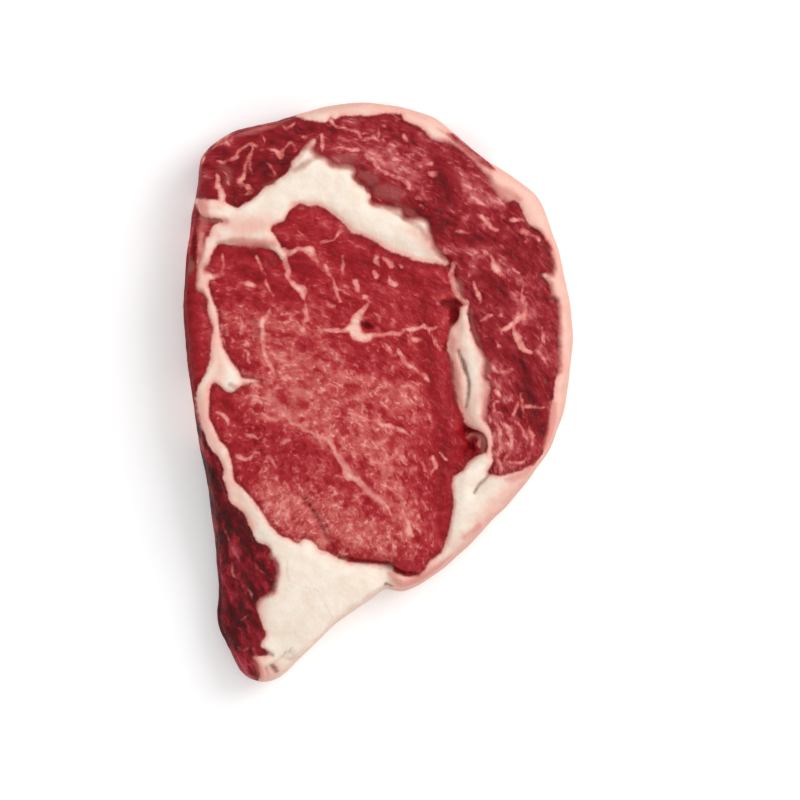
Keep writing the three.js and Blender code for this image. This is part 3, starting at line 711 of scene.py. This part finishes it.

# %% Paler lean, painted highlights on the bare strip, and thin films of fat
PALE_STROKES = [
    [(-49, 3, 1), (-38, 2, 5), (-22, -4, 9), (-8, -12, 9), (3, -24, 5.5), (8, -40, 3.5), (11, -54, 1)],
    [(-46, -2, 2), (-40, -5, 3.5), (-33, -7, 3)],
    [(39, -10, 1), (42, -19, 3), (45, -27, 2.5)],
    [(-52, 26, 1), (-44, 24, 3.5), (-34, 22, 4), (-24, 20, 4), (-18, 14, 2)],
    [(-30, 6, 1), (-14, 4, 4), (2, 0, 5), (14, -4, 4), (18, -6, 1)],
    [(-36, -35, 4.5), (-25, -42, 9), (-10, -47, 8), (2, -53, 4)],
    [(-47, 28, 1), (-43, 18, 3), (-36, 14, 4), (-28, 8, 5)],
    [(42, 43, 1), (48, 39, 3), (50, 32, 2), (49, 22, 1)],
    [(37, 15, -1), (40, 8, 0.5), (42, 1, 1), (41, -6, 0), (44, -13, 1.5), (46, -21, 2.5)],
    [(-10, 87, 3), (4, 81, 3.5), (13, 79, 3), (13, 72, 2)],
    [(24, 50.5, 1), (30, 49, 2), (38, 50, 1.5)],
    # The next two brighten the bare strip where it gleams: partly its own crimson, partly painted
    # highlights
    [(-50, -58, -7), (-48, -66, -4), (-43, -72, -5)],
    [(-46, -80, -4), (-45, -88, -3), (-43, -96, -3)],
    [(29, 73, 1), (34, 68, 3), (40, 66, 2)],
]
FILM_STROKES = [
    [(-49, 51.8, 0.9), (-42, 51.5, 1.2), (-35.5, 51, 0.8)],
    [(-60, 65, 1.8), (-59.2, 61.5, 1.3), (-60.6, 56, 1), (-61.2, 47, 1.1)],
    [(26, 18, 1), (26.6, 12, 0.7), (27.6, 6, 0.9), (28.5, 0, 0.9), (29.2, -5, 0.6)],
    [(37.2, 3, 0.7), (37, -3, 0.6), (36.5, -8, 0.5)],
    [(39, 72.5, 0.3), (42, 70, 1), (46, 68.2, 1.2), (49.5, 66.5, 0.4)],
    [(60.3, -4, 1), (60, -12, 1.2), (58.3, -19, 1)],
    [(4, -62.5, 0.5), (9, -65.8, 1.2), (15, -64.3, 1.6), (20.5, -60.8, 1.6), (26, -56.5, 0.6)],
    [(30, -49.5, 0.8), (35, -46, 0.8)],
    [(-37, 0, 1), (-35.5, -4, 1), (-31, -6.5, 0.9), (-27.5, -11, 0.9), (-24, -12.3, 0.6)],
    [(-28, 0.5, 1.5), (-24, -1, 1.5)],
    [(-13, -22.3, 0.7), (-10.5, -26.3, 1.1), (-7, -28.3, 0.9)],
    [(-6, -30.8, 0.9), (-2.5, -34.3, 1.2), (1, -37, 0.9)],
    [(-22, 86.6, 0.6), (-24.5, 84, 0.4)],
    [(-52, 88.4, 0.8), (-46, 90, 1), (-40, 91.2, 1), (-33, 92.8, 0.6)],
    [(44, -30, 0.5), (50, -28, 0.8), (56, -24, 0.5)],
    [(-42.3, -91, 0.4), (-40.8, -95, 0.9), (-40, -98.5, 0.9)],
    [(26, 88.2, 0.4), (30.5, 84.8, 1.2), (35, 81, 0.7), (40, 77.4, 0.3)],
    [(-59.8, 80, -0.3), (-60.5, 73, -0.3), (-61.5, 67, -0.2)],
    [(-19.5, -42.5, 0.4), (-18.8, -46, 0.5), (-19, -52, 1)],
]
print("paler places:", len(PALE_STROKES), " films:", len(FILM_STROKES))

# %% Fat that blushes, and borders that are soft
BLUSH_STROKES = [
    [(-36, 96, 3), (-20, 98, 3), (0, 99.5, 4), (22, 93, 5), (36, 81, 5), (50, 68, 8), (60, 50, 6),
     (66, 30, 6), (66, 5, 6), (60, -18, 5), (52, -30, 5), (42, -40, 4.5), (24, -60, 3), (8, -68, 3)],
    [(-62, 46, 4), (-61, 34, 3), (-57, 20, 2.5), (-54, 8, 1.5), (-60, -5, 3), (-56, -18, 2),
     (-51, -32, 2), (-43, -45, 1.5)],
    [(28, 28, 2), (27, 17, 3), (28, 5, 3), (29.5, -6, 3), (36, -14, 3), (38.5, -20, 2)],
    [(12, 56, 1), (17, 52, 2.5), (21.5, 48, 2)],
    [(24, 45, 0.5), (14, 46, 1), (6, 48.8, 1), (-2, 53, 1), (-10, 57, 1), (-17, 63, 0.5),
     (-28, 65.5, 1)],
    [(32, 24, 0.5), (35.8, 8, 0.5), (36, -3, 1.5), (36.5, -9, 1.5)],
    [(33.5, 2, 0.1), (34, -3, 1.5), (33.5, -8, 1)],
    [(-52, 58, 2), (-44, 57, 3.5), (-36, 58, 2)],
    [(-62, 64, 2), (-54, 63.5, 1)],
    [(-60, 56, 2), (-52, 53, 1.5), (-44, 52, 2), (-35, 52, 2)],
    [(-42, -97, 5), (-36, -96, 3)],
    [(-36, -58, 1.5), (-36, -66, 1.5), (-41, -72, 2), (-40, -84, 1.5)],
]
SOFT_BORDER_STROKES = [
    [(-1, 65, 1), (5, 63, 1.5), (10, 60, 2), (16, 57, 2.5), (19, 51, 2.5), (22, 47, 1.5)],
    [(20, 89, 1), (30, 83, 1.5), (38, 74, 1.5), (44, 66, 1)],
    [(62, 8, 1), (62, 30, 1.5), (60, 42, 1)],
    [(-62, 52, 2), (-60, 44, 1.5), (-61, 36, 1)],
    [(-47, 51, 0.5), (-38, 50.5, 0.5)],
    [(-24, 84, 1), (-16, 79, 2), (-8, 76, 1.5)],
    [(36, 14, 1), (38, 2, 1.2), (37, -8, 1)],
    [(-37, -57, 1.5), (-35, -66, 1.5), (-41, -73, 1)],
]
print("blushing places:", len(BLUSH_STROKES), " soft borders:", len(SOFT_BORDER_STROKES))

# %% The two great borders between muscles
# The cap lies to the left of its route, and the strip of bare lean to the right of its own
CAP_ROUTE = [
    (-75, 52), (-50, 60), (-34, 58), (-26, 66), (-14, 62), (-4, 54), (24, 44), (27.5, 34), (29, 28),
    (29, 10), (32, -5), (33, -18), (36, -27), (45, -32), (70, -32),
]
BARE_STRIP_ROUTE = [
    (-80, 0), (-60, -6), (-56, -16), (-50, -31), (-39, -50), (-31, -60), (-36, -75), (-36, -88),
    (-38, -110),
]
print("points of the cap's border:", len(CAP_ROUTE), " of the strip's:", len(BARE_STRIP_ROUTE))

# %% [markdown]
# ## From strokes to numbers
# A shader can't look up a border, but it can read a number from each point. So every border
# and stroke becomes a distance: how deep a point lies inside it, in millimetres.

# %% Distances to borders and strokes
FARTHEST = 8.0
CURVE_STEPS = 4


def segment_distance(spots, start, end):
    """Distance to a segment, and the share of it that is passed at the nearest place."""
    run = end[:2] - start[:2]
    share = np.clip((spots - start[:2]) @ run / max(run @ run, 1e-9), 0, 1)
    gap = spots - start[:2] - share[:, None] * run
    return np.hypot(gap[:, 0], gap[:, 1]), share


def border_depth(spots, border):
    """Depth inside a closed border in millimetres, negative outside it."""
    curve = smooth_route(border, closed=True, steps=CURVE_STEPS)
    inside = np.zeros(len(spots), bool)
    nearest = np.full(len(spots), FARTHEST)
    x, y = spots[:, 0], spots[:, 1]
    for start, end in zip(curve, np.roll(curve, -1, axis=0)):
        nearest = np.minimum(nearest, segment_distance(spots, start, end)[0])
        crossed = (start[1] > y) != (end[1] > y)
        rise = end[1] - start[1]
        slope = (end[0] - start[0]) / (rise if rise != 0 else 1)
        inside ^= crossed & (x < start[0] + (y - start[1]) * slope)
    return np.where(inside, nearest, -nearest)


def stroke_depth(spots, routes, rounding=0.0):
    """Depth inside the nearest of some strokes in millimetres, negative outside them.

    Rounding flattens the crest along the middle, so that a fine line isn't beaded by the mesh.
    """
    depth = np.full(len(spots), -FARTHEST)
    for route in routes:
        curve = smooth_route(route, closed=False, steps=CURVE_STEPS)
        for start, end in zip(curve, curve[1:]):
            distance, share = segment_distance(spots, start, end)
            distance = np.hypot(distance, rounding) - rounding
            half_width = start[2] + share * (end[2] - start[2])
            depth = np.maximum(depth, half_width - distance)
    return depth


def noise_field(spots, scale_mm, shift=0.0):
    """Smooth noise from about -0.7 to 0.7 with swells of that size."""
    offset = Vector((shift, shift, shift))
    return np.array([noise.noise(Vector(spot) / scale_mm + offset) for spot in spots])


crescent_depth = border_depth(np.array([[0, 60]]), CRESCENT_FAT)[0]
print("depth in the crescent at 0, 60 in mm:", round(float(crescent_depth), 2))

# %% [markdown]
# ## The map through the thickness
# The muscles run through the whole slice, so the side and the base show the same map. Lower
# points look it up a few millimetres aside, because the seams lean as they go through. Slits,
# shade and thin films lie on the cut face alone, so they fade out down the side.

# %% The map on every point
LEAN_OF_SEAMS = np.array([0.16, -0.1])
VEIN_WOBBLE = 1.1
VEIN_ROUNDING = 0.5
FADE_START = 2.0
FADE_RATE = 0.5
RIM_SPACING = 20

points = np.array([vert.co for vert in steak_mesh.vertices]) / MM
below_face = np.maximum(top_height(points[:, :2]) * height_scale - points[:, 2], 0)
spots = points[:, :2] + below_face[:, None] * LEAN_OF_SEAMS
fading = FADE_RATE * np.maximum(below_face - FADE_START, 0)
patch_depth = np.max([border_depth(spots, border) for border in FAT_BORDERS], axis=0)
wobble = np.column_stack([noise_field(points, 3.5, 11.0), noise_field(points, 3.5, 23.0)])
depths = {
    "fat": np.minimum(patch_depth, -stroke_depth(spots, LEAN_STROKES)),
    "vein": stroke_depth(spots + VEIN_WOBBLE * wobble, MARBLING_AND_HIGHLIGHTS, VEIN_ROUNDING),
    "crease": stroke_depth(spots, CREASES) - fading,
    "dark": stroke_depth(spots, DARK_STROKES),
    "blush": stroke_depth(spots, BLUSH_STROKES),
    "mauve": stroke_depth(spots, MAUVE_STROKES),
    "soft": stroke_depth(spots, SOFT_BORDER_STROKES),
    "pale": stroke_depth(spots, PALE_STROKES),
    "shade": stroke_depth(spots, SHADE_STROKES) - fading,
    "film": stroke_depth(spots, FILM_STROKES) - fading,
    "cap": np.clip(side_distance(spots, CAP_ROUTE), -FARTHEST, FARTHEST),
    "strip": np.clip(-side_distance(spots, BARE_STRIP_ROUTE), -FARTHEST, FARTHEST),
    "rim": border_depth(points[:, :2], outline[:-1:RIM_SPACING]),
}
print("share of points in fat:", round(float((depths["fat"] > 0).mean()), 3))

# %% [markdown]
# ## Relief
# Cold fat is stiff and stands a little proud of the lean, the soft lean sags along its seams,
# and the knife leaves the fibre bundles slightly uneven. These are small moves along the
# normal, in millimetres, so they catch the light without changing the form of the solid.

# %% Moving the surface along its normals
FAT_RISE = 0.35
SEAM_DEPTH = 0.4
CREASE_DEPTH = 0.8
BUNDLE_DEPTH = 0.35
BUNDLE_SIZE = 2.4
WALL_SWELL = 0.5
SWELL_SIZE = 9.0
BASE_SWELL = 0.12

normals = np.array([vert.normal for vert in steak_mesh.vertices])
upward = np.clip(normals[:, 2], 0, 1)
sideward = 1 - np.abs(normals[:, 2])
bundle_noise = noise_field(points * [1, 1, 0.25], BUNDLE_SIZE)
swell_noise = noise_field(points * [1, 1, 0.6], SWELL_SIZE, 5.0)
relief = FAT_RISE * smooth_step(-0.3, 1.6, depths["fat"] + 0.5 * bundle_noise)
relief -= SEAM_DEPTH * np.exp(-((depths["fat"] + 0.3) / 0.7) ** 2) * (depths["rim"] > 2)
relief -= CREASE_DEPTH * smooth_step(-0.6, 0.8, depths["crease"])
relief += BUNDLE_DEPTH * (bundle_noise - 0.3) * smooth_step(0.5, -0.5, depths["fat"])
relief *= 0.35 + 0.65 * upward
relief += WALL_SWELL * swell_noise * sideward
relief = np.where(normals[:, 2] < -0.5, BASE_SWELL * (swell_noise - 0.8), relief)
on_ground = smooth_step(2.5, 0.2, points[:, 2])
moved = points + normals * (relief * (1 - 0.8 * on_ground))[:, None]
moved[:, 2] = np.maximum(moved[:, 2], 0)
steak_mesh.vertices.foreach_set("co", (moved * MM).ravel())
steak_mesh.update()
print("relief in mm:", round(float(relief.min()), 2), "to", round(float(relief.max()), 2))

# %% [markdown]
# ## Grain
# The slice is cut across the fibres, and the bundles show as small flattened cells that sweep
# round in arcs. The grain keeps its own coordinates: distance from the middle of the arcs,
# and the way along them. Noise read in those coordinates is drawn out along the arcs.

# %% Map and grain as attributes
GRAIN_MIDDLE = np.array([-60.9, -71.3])
GRAIN_RADIUS = 90.0

from_middle = points[:, :2] - GRAIN_MIDDLE
grain = np.column_stack([
    np.hypot(from_middle[:, 0], from_middle[:, 1]),
    np.arctan2(from_middle[:, 1], from_middle[:, 0]) * GRAIN_RADIUS,
    points[:, 2],
])
for name, depth in depths.items():
    layer = steak_mesh.attributes.new(name, "FLOAT", "POINT")
    layer.data.foreach_set("value", depth.astype(np.float32))
for name, vectors in (("grain", grain), ("place", points)):
    layer = steak_mesh.attributes.new(name, "FLOAT_VECTOR", "POINT")
    layer.data.foreach_set("vector", vectors.astype(np.float32).ravel())
print("stored on each point:", ", ".join(depths), "and its grain and place")

# %% [markdown]
# ## The material
# Raw beef cut with a knife is one moist surface, fat and lean together, so one material covers
# the steak. The film of moisture gives it a soft shine, and a little light passes through it.
# Everything in the tree is made by one small function that adds a node.

# %% A node and a colour
meat = bpy.data.materials.new("raw_beef_face")
meat.use_nodes = True
nodes, links = meat.node_tree.nodes, meat.node_tree.links
finish_node = nodes["Principled BSDF"]


def linear(hex_colour):
    """A colour written as sRGB hex, in the linear values that Blender uses."""
    channels = [int(hex_colour[at:at + 2], 16) / 255 for at in (1, 3, 5)]
    return [c / 12.92 if c <= 0.04045 else ((c + 0.055) / 1.055) ** 2.4 for c in channels] + [1]


def add_node(kind, inputs, output=0, **settings):
    """Adds a node, sets it, sets or links its inputs by name or place, and gives an output."""
    node = nodes.new(kind)
    for name, value in settings.items():
        setattr(node, name, value)
    for name, value in inputs.items():
        if isinstance(value, bpy.types.NodeSocket):
            links.new(value, node.inputs[name])
        elif isinstance(value, str):
            node.inputs[name].default_value = linear(value)
        else:
            node.inputs[name].default_value = value
    return node.outputs[output]


print("nodes to start with:", len(nodes))

# %% [markdown]
# ### Short chains
# Four chains of nodes come again and again: a sum of weighted values, a share that a sum has
# passed, coats of colour one over another, and noise with swells of a real size.

# %% Sums, shares, coats and noise
def total(start, *terms):
    """A number plus each of some values times its weight, which may be a value as well."""
    for value, weight in terms:
        inputs = {0: value, 1: weight, 2: start}
        start = add_node("ShaderNodeMath", inputs, operation="MULTIPLY_ADD")
    return start


def share_passed(low, high, start, *terms, least=0.0, most=1.0):
    """Goes smoothly from least, where a weighted sum is at low, to most, where it is at high."""
    inputs = {"Value": total(start, *terms), "From Min": low, "From Max": high,
              "To Min": least, "To Max": most}
    return add_node("ShaderNodeMapRange", inputs, interpolation_type="SMOOTHSTEP")


def coated(ground, *coats):
    """A colour with coats laid over it in turn, each a share and a colour."""
    for coat_share, coat in coats:
        inputs = {0: coat_share, 6: ground, 7: coat}
        ground = add_node("ShaderNodeMix", inputs, 2, data_type="RGBA")
    return ground


def noise_at(vector, sizes, detail=2.0, roughness=0.5):
    """Noise around 0, mostly from -0.2 to 0.2, with swells of some sizes in millimetres."""
    place = add_node("ShaderNodeVectorMath", {0: vector, 1: sizes}, operation="DIVIDE")
    inputs = {"Vector": place, "Scale": 1.0, "Detail": detail, "Roughness": roughness}
    return total(-0.5, (add_node("ShaderNodeTexNoise", inputs), 1.0))


print("links to start with:", len(links))

# %% Where the borders wander
# Noise in millimetres is added to each distance, so that borders are ragged as in real meat
marks = {name: add_node("ShaderNodeAttribute", {}, "Fac", attribute_name=name) for name in depths}
grain_mm = add_node("ShaderNodeAttribute", {}, "Vector", attribute_name="grain")
place_mm = add_node("ShaderNodeAttribute", {}, "Vector", attribute_name="place")
wander = noise_at(place_mm, (4, 4, 8))
fray = noise_at(place_mm, (1.4, 1.4, 3), 1)
broad = noise_at(place_mm, (12, 12, 20))
medium = noise_at(place_mm, (3.4, 3.4, 8))
fat_mm = total(marks["fat"], (wander, 1.2), (fray, 0.6))
vein_mm = total(marks["vein"], (medium, 0.9), (fray, 0.5))
crease_mm = total(marks["crease"], (wander, 0.8), (fray, 0.6))
dark_mm = total(marks["dark"], (wander, 3.5), (medium, 3))
print("marks that the material reads:", len(marks), " nodes so far:", len(nodes))

# %% [markdown]
# ### Lean
# The eye muscle is bright crimson, the cap is browner, and the strip of lean on the left is a
# dark maroon, partly the colour of its dried lean and partly painted shade where it slopes away
# from the light. The face is cut across bundles of fibres, so it is a net of small cells in
# slightly different reds, with thin films of pale fat between some of them. The real bundles
# are from 1 to 3 mm across, and the noise has that size.

# %% Bundles of fibres and the films between them
# Noise pushes the grain's coordinates about first, so that no row of bundles is straight
warp_place = add_node("ShaderNodeVectorMath", {0: place_mm, 1: (3, 3, 6)}, operation="DIVIDE")
warp = add_node("ShaderNodeTexNoise", {"Vector": warp_place, "Scale": 1.0}, "Color")
grain_push = {0: warp, 1: (2, 2, 2), 2: grain_mm}
warped_mm = add_node("ShaderNodeVectorMath", grain_push, operation="MULTIPLY_ADD")
bundles = noise_at(warped_mm, (1.9, 3.4, 12), 1)
patches = noise_at(warped_mm, (5, 8, 16))
# Flecks lighten the lean, partly as pale specks and partly as painted highlights of the wet face; gaps
# darken it, as painted shade between bundles
flecks_and_glints = share_passed(0.04, 0.16, noise_at(warped_mm, (1.3, 2.6, 12), 1))
gaps = share_passed(0.05, 0.18, noise_at(warped_mm, (1.7, 2.8, 9), 1))
worm_noise = noise_at(warped_mm, (4.5, 8, 14), 1)
worms = share_passed(0.075, 0.0, add_node("ShaderNodeMath", {0: worm_noise}, operation="ABSOLUTE"))
cell_place = add_node("ShaderNodeVectorMath", {0: warped_mm, 1: (2.4, 4, 14)}, operation="DIVIDE")
soft_cells = {"Vector": cell_place, "Scale": 1.0, "Smoothness": 0.3}
cell_colour = add_node("ShaderNodeTexVoronoi", soft_cells, "Color", feature="SMOOTH_F1")
cell_tone = total(-0.5, (cell_colour, 1.0))
sharp_cells = {"Vector": cell_place, "Scale": 1.0}
edge_distance = add_node("ShaderNodeTexVoronoi", sharp_cells, "Distance", feature="DISTANCE_TO_EDGE")
films = share_passed(0.14, 0.0, edge_distance)
print("nodes so far:", len(nodes))

# %% Where the lean is pale, dark or finely marbled
pale_share = share_passed(-6, 5, marks["pale"], (wander, 14), (medium, 8))
dark_share = share_passed(-3.0, 1.8, dark_mm)
deep_share = share_passed(0.8, 3.0, dark_mm)
cap_share = share_passed(-0.5, 1.5, marks["cap"])
strip_share = share_passed(-0.8, 1.5, marks["strip"], (wander, 3))
worm_share = share_passed(-0.02, 0.22, 0.0, (broad, 0.8), (medium, 1.0), (pale_share, 0.08))
fine_share = share_passed(-0.06, 0.16, 0.0, (medium, 1.0), (broad, -0.6), (pale_share, 0.12))
print("nodes so far:", len(nodes))

# %% The tone of the lean
# One number from 0, deep red, to 1, pale pink, gathers everything that lightens or darkens it
shown_worms = total(0.0, (worms, worm_share))
shown_flecks_and_glints = total(0.0, (flecks_and_glints, fine_share))
shown_films = total(0.0, (films, fine_share))
tone = total(0.34, (broad, 0.3), (patches, 0.55), (medium, 0.25), (bundles, 0.35), (cell_tone, 0.16),
             (pale_share, 0.25), (cap_share, -0.03))
# Gaps darken the tone as painted shade, and flecks lighten it partly as painted highlights
tone = total(tone, (shown_worms, 0.15), (gaps, -0.1), (flecks_and_glints, 0.09), (shown_flecks_and_glints, 0.17),
             (shown_films, 0.1))
dark_tone = total(0.14, (bundles, 0.25), (deep_share, -0.13))
tone = add_node("ShaderNodeMix", {0: total(0.0, (dark_share, 0.8)), 2: tone, 3: dark_tone})
cap_contrast = total(0.0, (total(-0.42, (tone, 1.0)), cap_share))
tone = total(tone, (cap_contrast, 0.08))
print("nodes so far:", len(nodes))

# %% The tones of the bare strip and of the veins
# The strip's streaks run along it, so its noise is turned by the angle at which it lies
STRIP_ANGLE = -0.45
strip_push = {0: warp, 1: (4, 4, 4), 2: place_mm}
strip_place = add_node("ShaderNodeVectorMath", strip_push, operation="MULTIPLY_ADD")
strip_turn = {"Vector": strip_place, "Angle": STRIP_ANGLE}
along_strip = add_node("ShaderNodeVectorRotate", strip_turn, rotation_type="Z_AXIS")
streaks = noise_at(along_strip, (2.4, 6, 9))
# The strip's dark ramp is partly its own colour and partly painted shade of its slope; pale strokes add
# painted highlights
strip_tone = total(0.47, (streaks, 1.6), (broad, 0.7), (dark_share, -0.25), (pale_share, 0.2))
vein_tone = total(0.08, (vein_mm, 0.6), (medium, 0.8))
print("nodes so far:", len(nodes))

# %% Colours for the tones
TONES = {
    "eye": (tone, [(0.0, "#6a040b"), (0.22, "#96121b"), (0.4, "#aa2830"), (0.56, "#bc4c4a"),
                   (0.74, "#d06b66"), (1.0, "#ea958d")]),
    "cap": (tone, [(0.0, "#4c0308"), (0.22, "#860f18"), (0.4, "#9a232c"), (0.56, "#ad4447"),
                   (0.74, "#c46264"), (1.0, "#e39089")]),
    "strip": (strip_tone, [(0.0, "#400307"), (0.3, "#5c030b"), (0.5, "#860b1a"),
                           (0.72, "#a52a3a"), (1.0, "#b9505c")]),
    "vein": (vein_tone, [(0.0, "#c85a56"), (0.35, "#df827b"), (0.85, "#f3c4b5")]),
}
toned = {}
for name, (value, stops) in TONES.items():
    toned[name] = add_node("ShaderNodeValToRGB", {0: value})
    elements = toned[name].node.color_ramp.elements
    for element, (position, stop_colour) in zip(elements, (stops[0], stops[-1])):
        element.position = position
        element.color = linear(stop_colour)
    for position, stop_colour in stops[1:-1]:
        elements.new(position).color = linear(stop_colour)
print("colours for each tone:", {name: len(stops) for name, (value, stops) in TONES.items()})

# %% The lean put together
skin_patches = noise_at(place_mm, (9, 9, 3), 3, 0.6)
near_rim = share_passed(2.2, 0.4, marks["rim"])
skin_at_rim = total(0.0, (total(0.42, (skin_patches, 1.4)), near_rim))
not_dark = total(1.0, (dark_share, -1.0))
skin_share = total(0.0, (share_passed(0.2, 0.8, skin_at_rim, most=0.5), not_dark))
mauve_share = share_passed(-1.5, 1.0, marks["mauve"], (wander, 3), most=0.6)
lean = coated(toned["eye"], (cap_share, toned["cap"]), (strip_share, toned["strip"]),
              (skin_share, "#b5706a"), (mauve_share, "#a65452"))
print("nodes so far:", len(nodes))

# %% [markdown]
# ### Fat
# Fat is cream where it is thick. It blushes pink where it is thin and the lean shines through:
# along its borders, in the rind and in the thin line on the left.

# %% Fat colours
fat_tone = noise_at(place_mm, (5, 5, 6), 3, 0.6)
blush_share = share_passed(-3, 3, marks["blush"], (wander, 4))
# The fat's outer rim is duller and pinker: partly the rim fat's own tone, partly painted shade where the
# rounded edge falls away
rim_tone_and_shade = share_passed(3.5, 0.5, marks["rim"], (wander, 5), most=0.4)
thin_share = share_passed(2.0, -0.2, fat_mm, (medium, 2.5), most=0.75)
fat = coated("#efdcca", (share_passed(-0.2, 0.2, fat_tone), "#f5e8da"), (blush_share, "#eabbac"),
             (rim_tone_and_shade, "#c98e82"), (thin_share, "#f0a398"))
print("nodes so far:", len(nodes))

# %% Where fat, veins, films and marks show
# The border of the fat is crisp where a seam was cut square, and soft where the two interleave
softness = share_passed(-2.5, 1.0, marks["soft"], least=1.0, most=3.2)
fat_share = share_passed(
    -0.45, 0.5, add_node("ShaderNodeMath", {0: fat_mm, 1: softness}, operation="DIVIDE"))
# Lean just beside the fat is darkened: painted shade where the lean dips into the seam
from_fat = add_node("ShaderNodeMath", {0: total(0.6, (fat_mm, 1.0))}, operation="ABSOLUTE")
shade_beside_fat = share_passed(1.5, 0.1, from_fat, most=0.3)
# In the bare strip these lines are partly painted highlights, and show fainter
fainter_in_strip = total(1.0, (strip_share, -0.45))
vein_and_highlight_share = total(0.0, (share_passed(-0.2, 0.45, vein_mm, most=0.92), fainter_in_strip))
film_share = share_passed(-1.2, 1.0, marks["film"], (wander, 2), (medium, 1), most=0.8)
shade_share = share_passed(-0.9, 0.9, marks["shade"], (wander, 1.5), most=0.75)
# Creases are coloured dark: painted shade in the slits and folds
crease_share = share_passed(-0.9, 0.7, crease_mm, most=0.8)
print("nodes so far:", len(nodes))

# %% Lean and fat together
# A film, a painted shade in a hollow or the painted shade of a crease has one colour on lean and another
# on fat
film_on_lean = total(0.0, (film_share, 0.75))
fat_with_film = coated(fat, (film_share, "#d88a80"))
shade_colour = coated("#96564c", (fat_share, "#bd8c7c"))
crease_shade_colour = coated("#5c080a", (fat_share, "#66302a"))
colour = coated(lean, (shade_beside_fat, "#5e070d"), (vein_and_highlight_share, toned["vein"]), (film_on_lean, "#d27670"),
                (fat_share, fat_with_film), (shade_share, shade_colour), (crease_share, crease_shade_colour))
links.new(colour, finish_node.inputs["Base Color"])
print("nodes so far:", len(nodes))

# %% [markdown]
# ### Wetness and fine bump
# The cut face is moist: lean is a little glossier than fat, and the dried strip shines most.
# The shine dies away toward the rim and in the creases. The bump follows the bundles on the
# lean and is soft on the fat.

# %% Roughness, bump and shine
BUMP_HEIGHT = 0.7 * MM
rough_rim = share_passed(4.5, 1.5, marks["rim"])
roughness = total(0.4, (fat_share, 0.1), (strip_share, -0.12), (rough_rim, 0.2))
links.new(roughness, finish_node.inputs["Roughness"])
lean_height = total(0.0, (bundles, 0.8), (medium, 1.2), (flecks_and_glints, 0.15), (gaps, -0.12), (cell_tone, 0.1))
fat_height = total(0.0, (fat_tone, 0.9))
height = add_node("ShaderNodeMix", {0: fat_share, 2: lean_height, 3: fat_height})
bump = add_node("ShaderNodeBump", {"Strength": 1.0, "Distance": BUMP_HEIGHT, "Height": height})
links.new(bump, finish_node.inputs["Normal"])
shine_inside = share_passed(1.0, 4.5, marks["rim"], least=0.05, most=0.16)
outside_creases = total(1.0, (crease_share, -1.0))
links.new(total(0.0, (shine_inside, outside_creases)), finish_node.inputs["Specular IOR Level"])
finish_node.inputs["Subsurface Weight"].default_value = 0.08
finish_node.inputs["Subsurface Radius"].default_value = (1.0, 0.3, 0.2)
finish_node.inputs["Subsurface Scale"].default_value = 2 * MM
steak_mesh.materials.append(meat)
print(meat.name, "has", len(nodes), "nodes and", len(links), "links")

# %% The steak takes the place of the solid
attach(steak, "root")
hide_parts("ribeye_steak")
print(steak.name, "stands for the solid, with", len(steak_mesh.materials), "material")

# %% [markdown]
# ## Stage, light and camera
# The steak lies on a matt white board and is seen from straight above. White surroundings give
# the even light of a catalogue picture, and one large soft lamp from the upper right brings
# out the relief. The board glows faintly, so that the shadow round the slice stays light. A
# long lens keeps the sides of the slice out of sight.

# %% A white board
BOARD_HALF = 3.0
board_sheet = bmesh.new()
bmesh.ops.create_grid(board_sheet, x_segments=1, y_segments=1, size=BOARD_HALF)
board_mesh = bpy.data.meshes.new("white_floor")
board_sheet.to_mesh(board_mesh)
board_sheet.free()
board = bpy.data.objects.new("white_floor", board_mesh)
bpy.context.scene.collection.objects.link(board)
white = bpy.data.materials.new("white_board")
white.use_nodes = True
white_sockets = white.node_tree.nodes["Principled BSDF"].inputs
white_sockets["Base Color"].default_value = linear("#fbfbfb")
white_sockets["Roughness"].default_value = 0.9
white_sockets["Specular IOR Level"].default_value = 0.1
white_sockets["Emission Color"].default_value = (1, 1, 1, 1)
white_sockets["Emission Strength"].default_value = 0.12
board_mesh.materials.append(white)
print("board:", len(board_mesh.polygons), "face,", 2 * BOARD_HALF, "m wide")

# %% Light
world = bpy.data.worlds.new("white_surroundings")
bpy.context.scene.world = world
world.use_nodes = True
world.node_tree.nodes["Background"].inputs["Color"].default_value = (1, 1, 1, 1)
world.node_tree.nodes["Background"].inputs["Strength"].default_value = 0.8

LAMP_PLACE = Vector((0.75, 0.45, 0.8))
LAMP_TARGET = Vector((0, 0, 0.02))
lamp_data = bpy.data.lights.new("window", "AREA")
lamp_data.size = 0.7
lamp_data.energy = 6.0
lamp = bpy.data.objects.new("window", lamp_data)
lamp.location = LAMP_PLACE
lamp.rotation_euler = (LAMP_TARGET - LAMP_PLACE).to_track_quat("-Z", "Y").to_euler()
bpy.context.scene.collection.objects.link(lamp)
print("lamp:", round((LAMP_PLACE - LAMP_TARGET).length, 2), "m away")

# %% Camera
PICTURE_MIDDLE = (7.8 * MM, -2.6 * MM)
CAMERA_DISTANCE = 2.4
PICTURE_WIDTH = 274.9 * MM
camera_data = bpy.data.cameras.new("from_above")
camera_data.sensor_width = 36
camera_data.lens = camera_data.sensor_width * CAMERA_DISTANCE / PICTURE_WIDTH
camera_data.clip_end = 10
camera = bpy.data.objects.new("from_above", camera_data)
camera.location = (*PICTURE_MIDDLE, steak_high.z + CAMERA_DISTANCE)
bpy.context.scene.collection.objects.link(camera)
bpy.context.scene.camera = camera
bpy.context.scene.view_settings.view_transform = "Standard"
print("lens:", round(camera_data.lens), "mm")
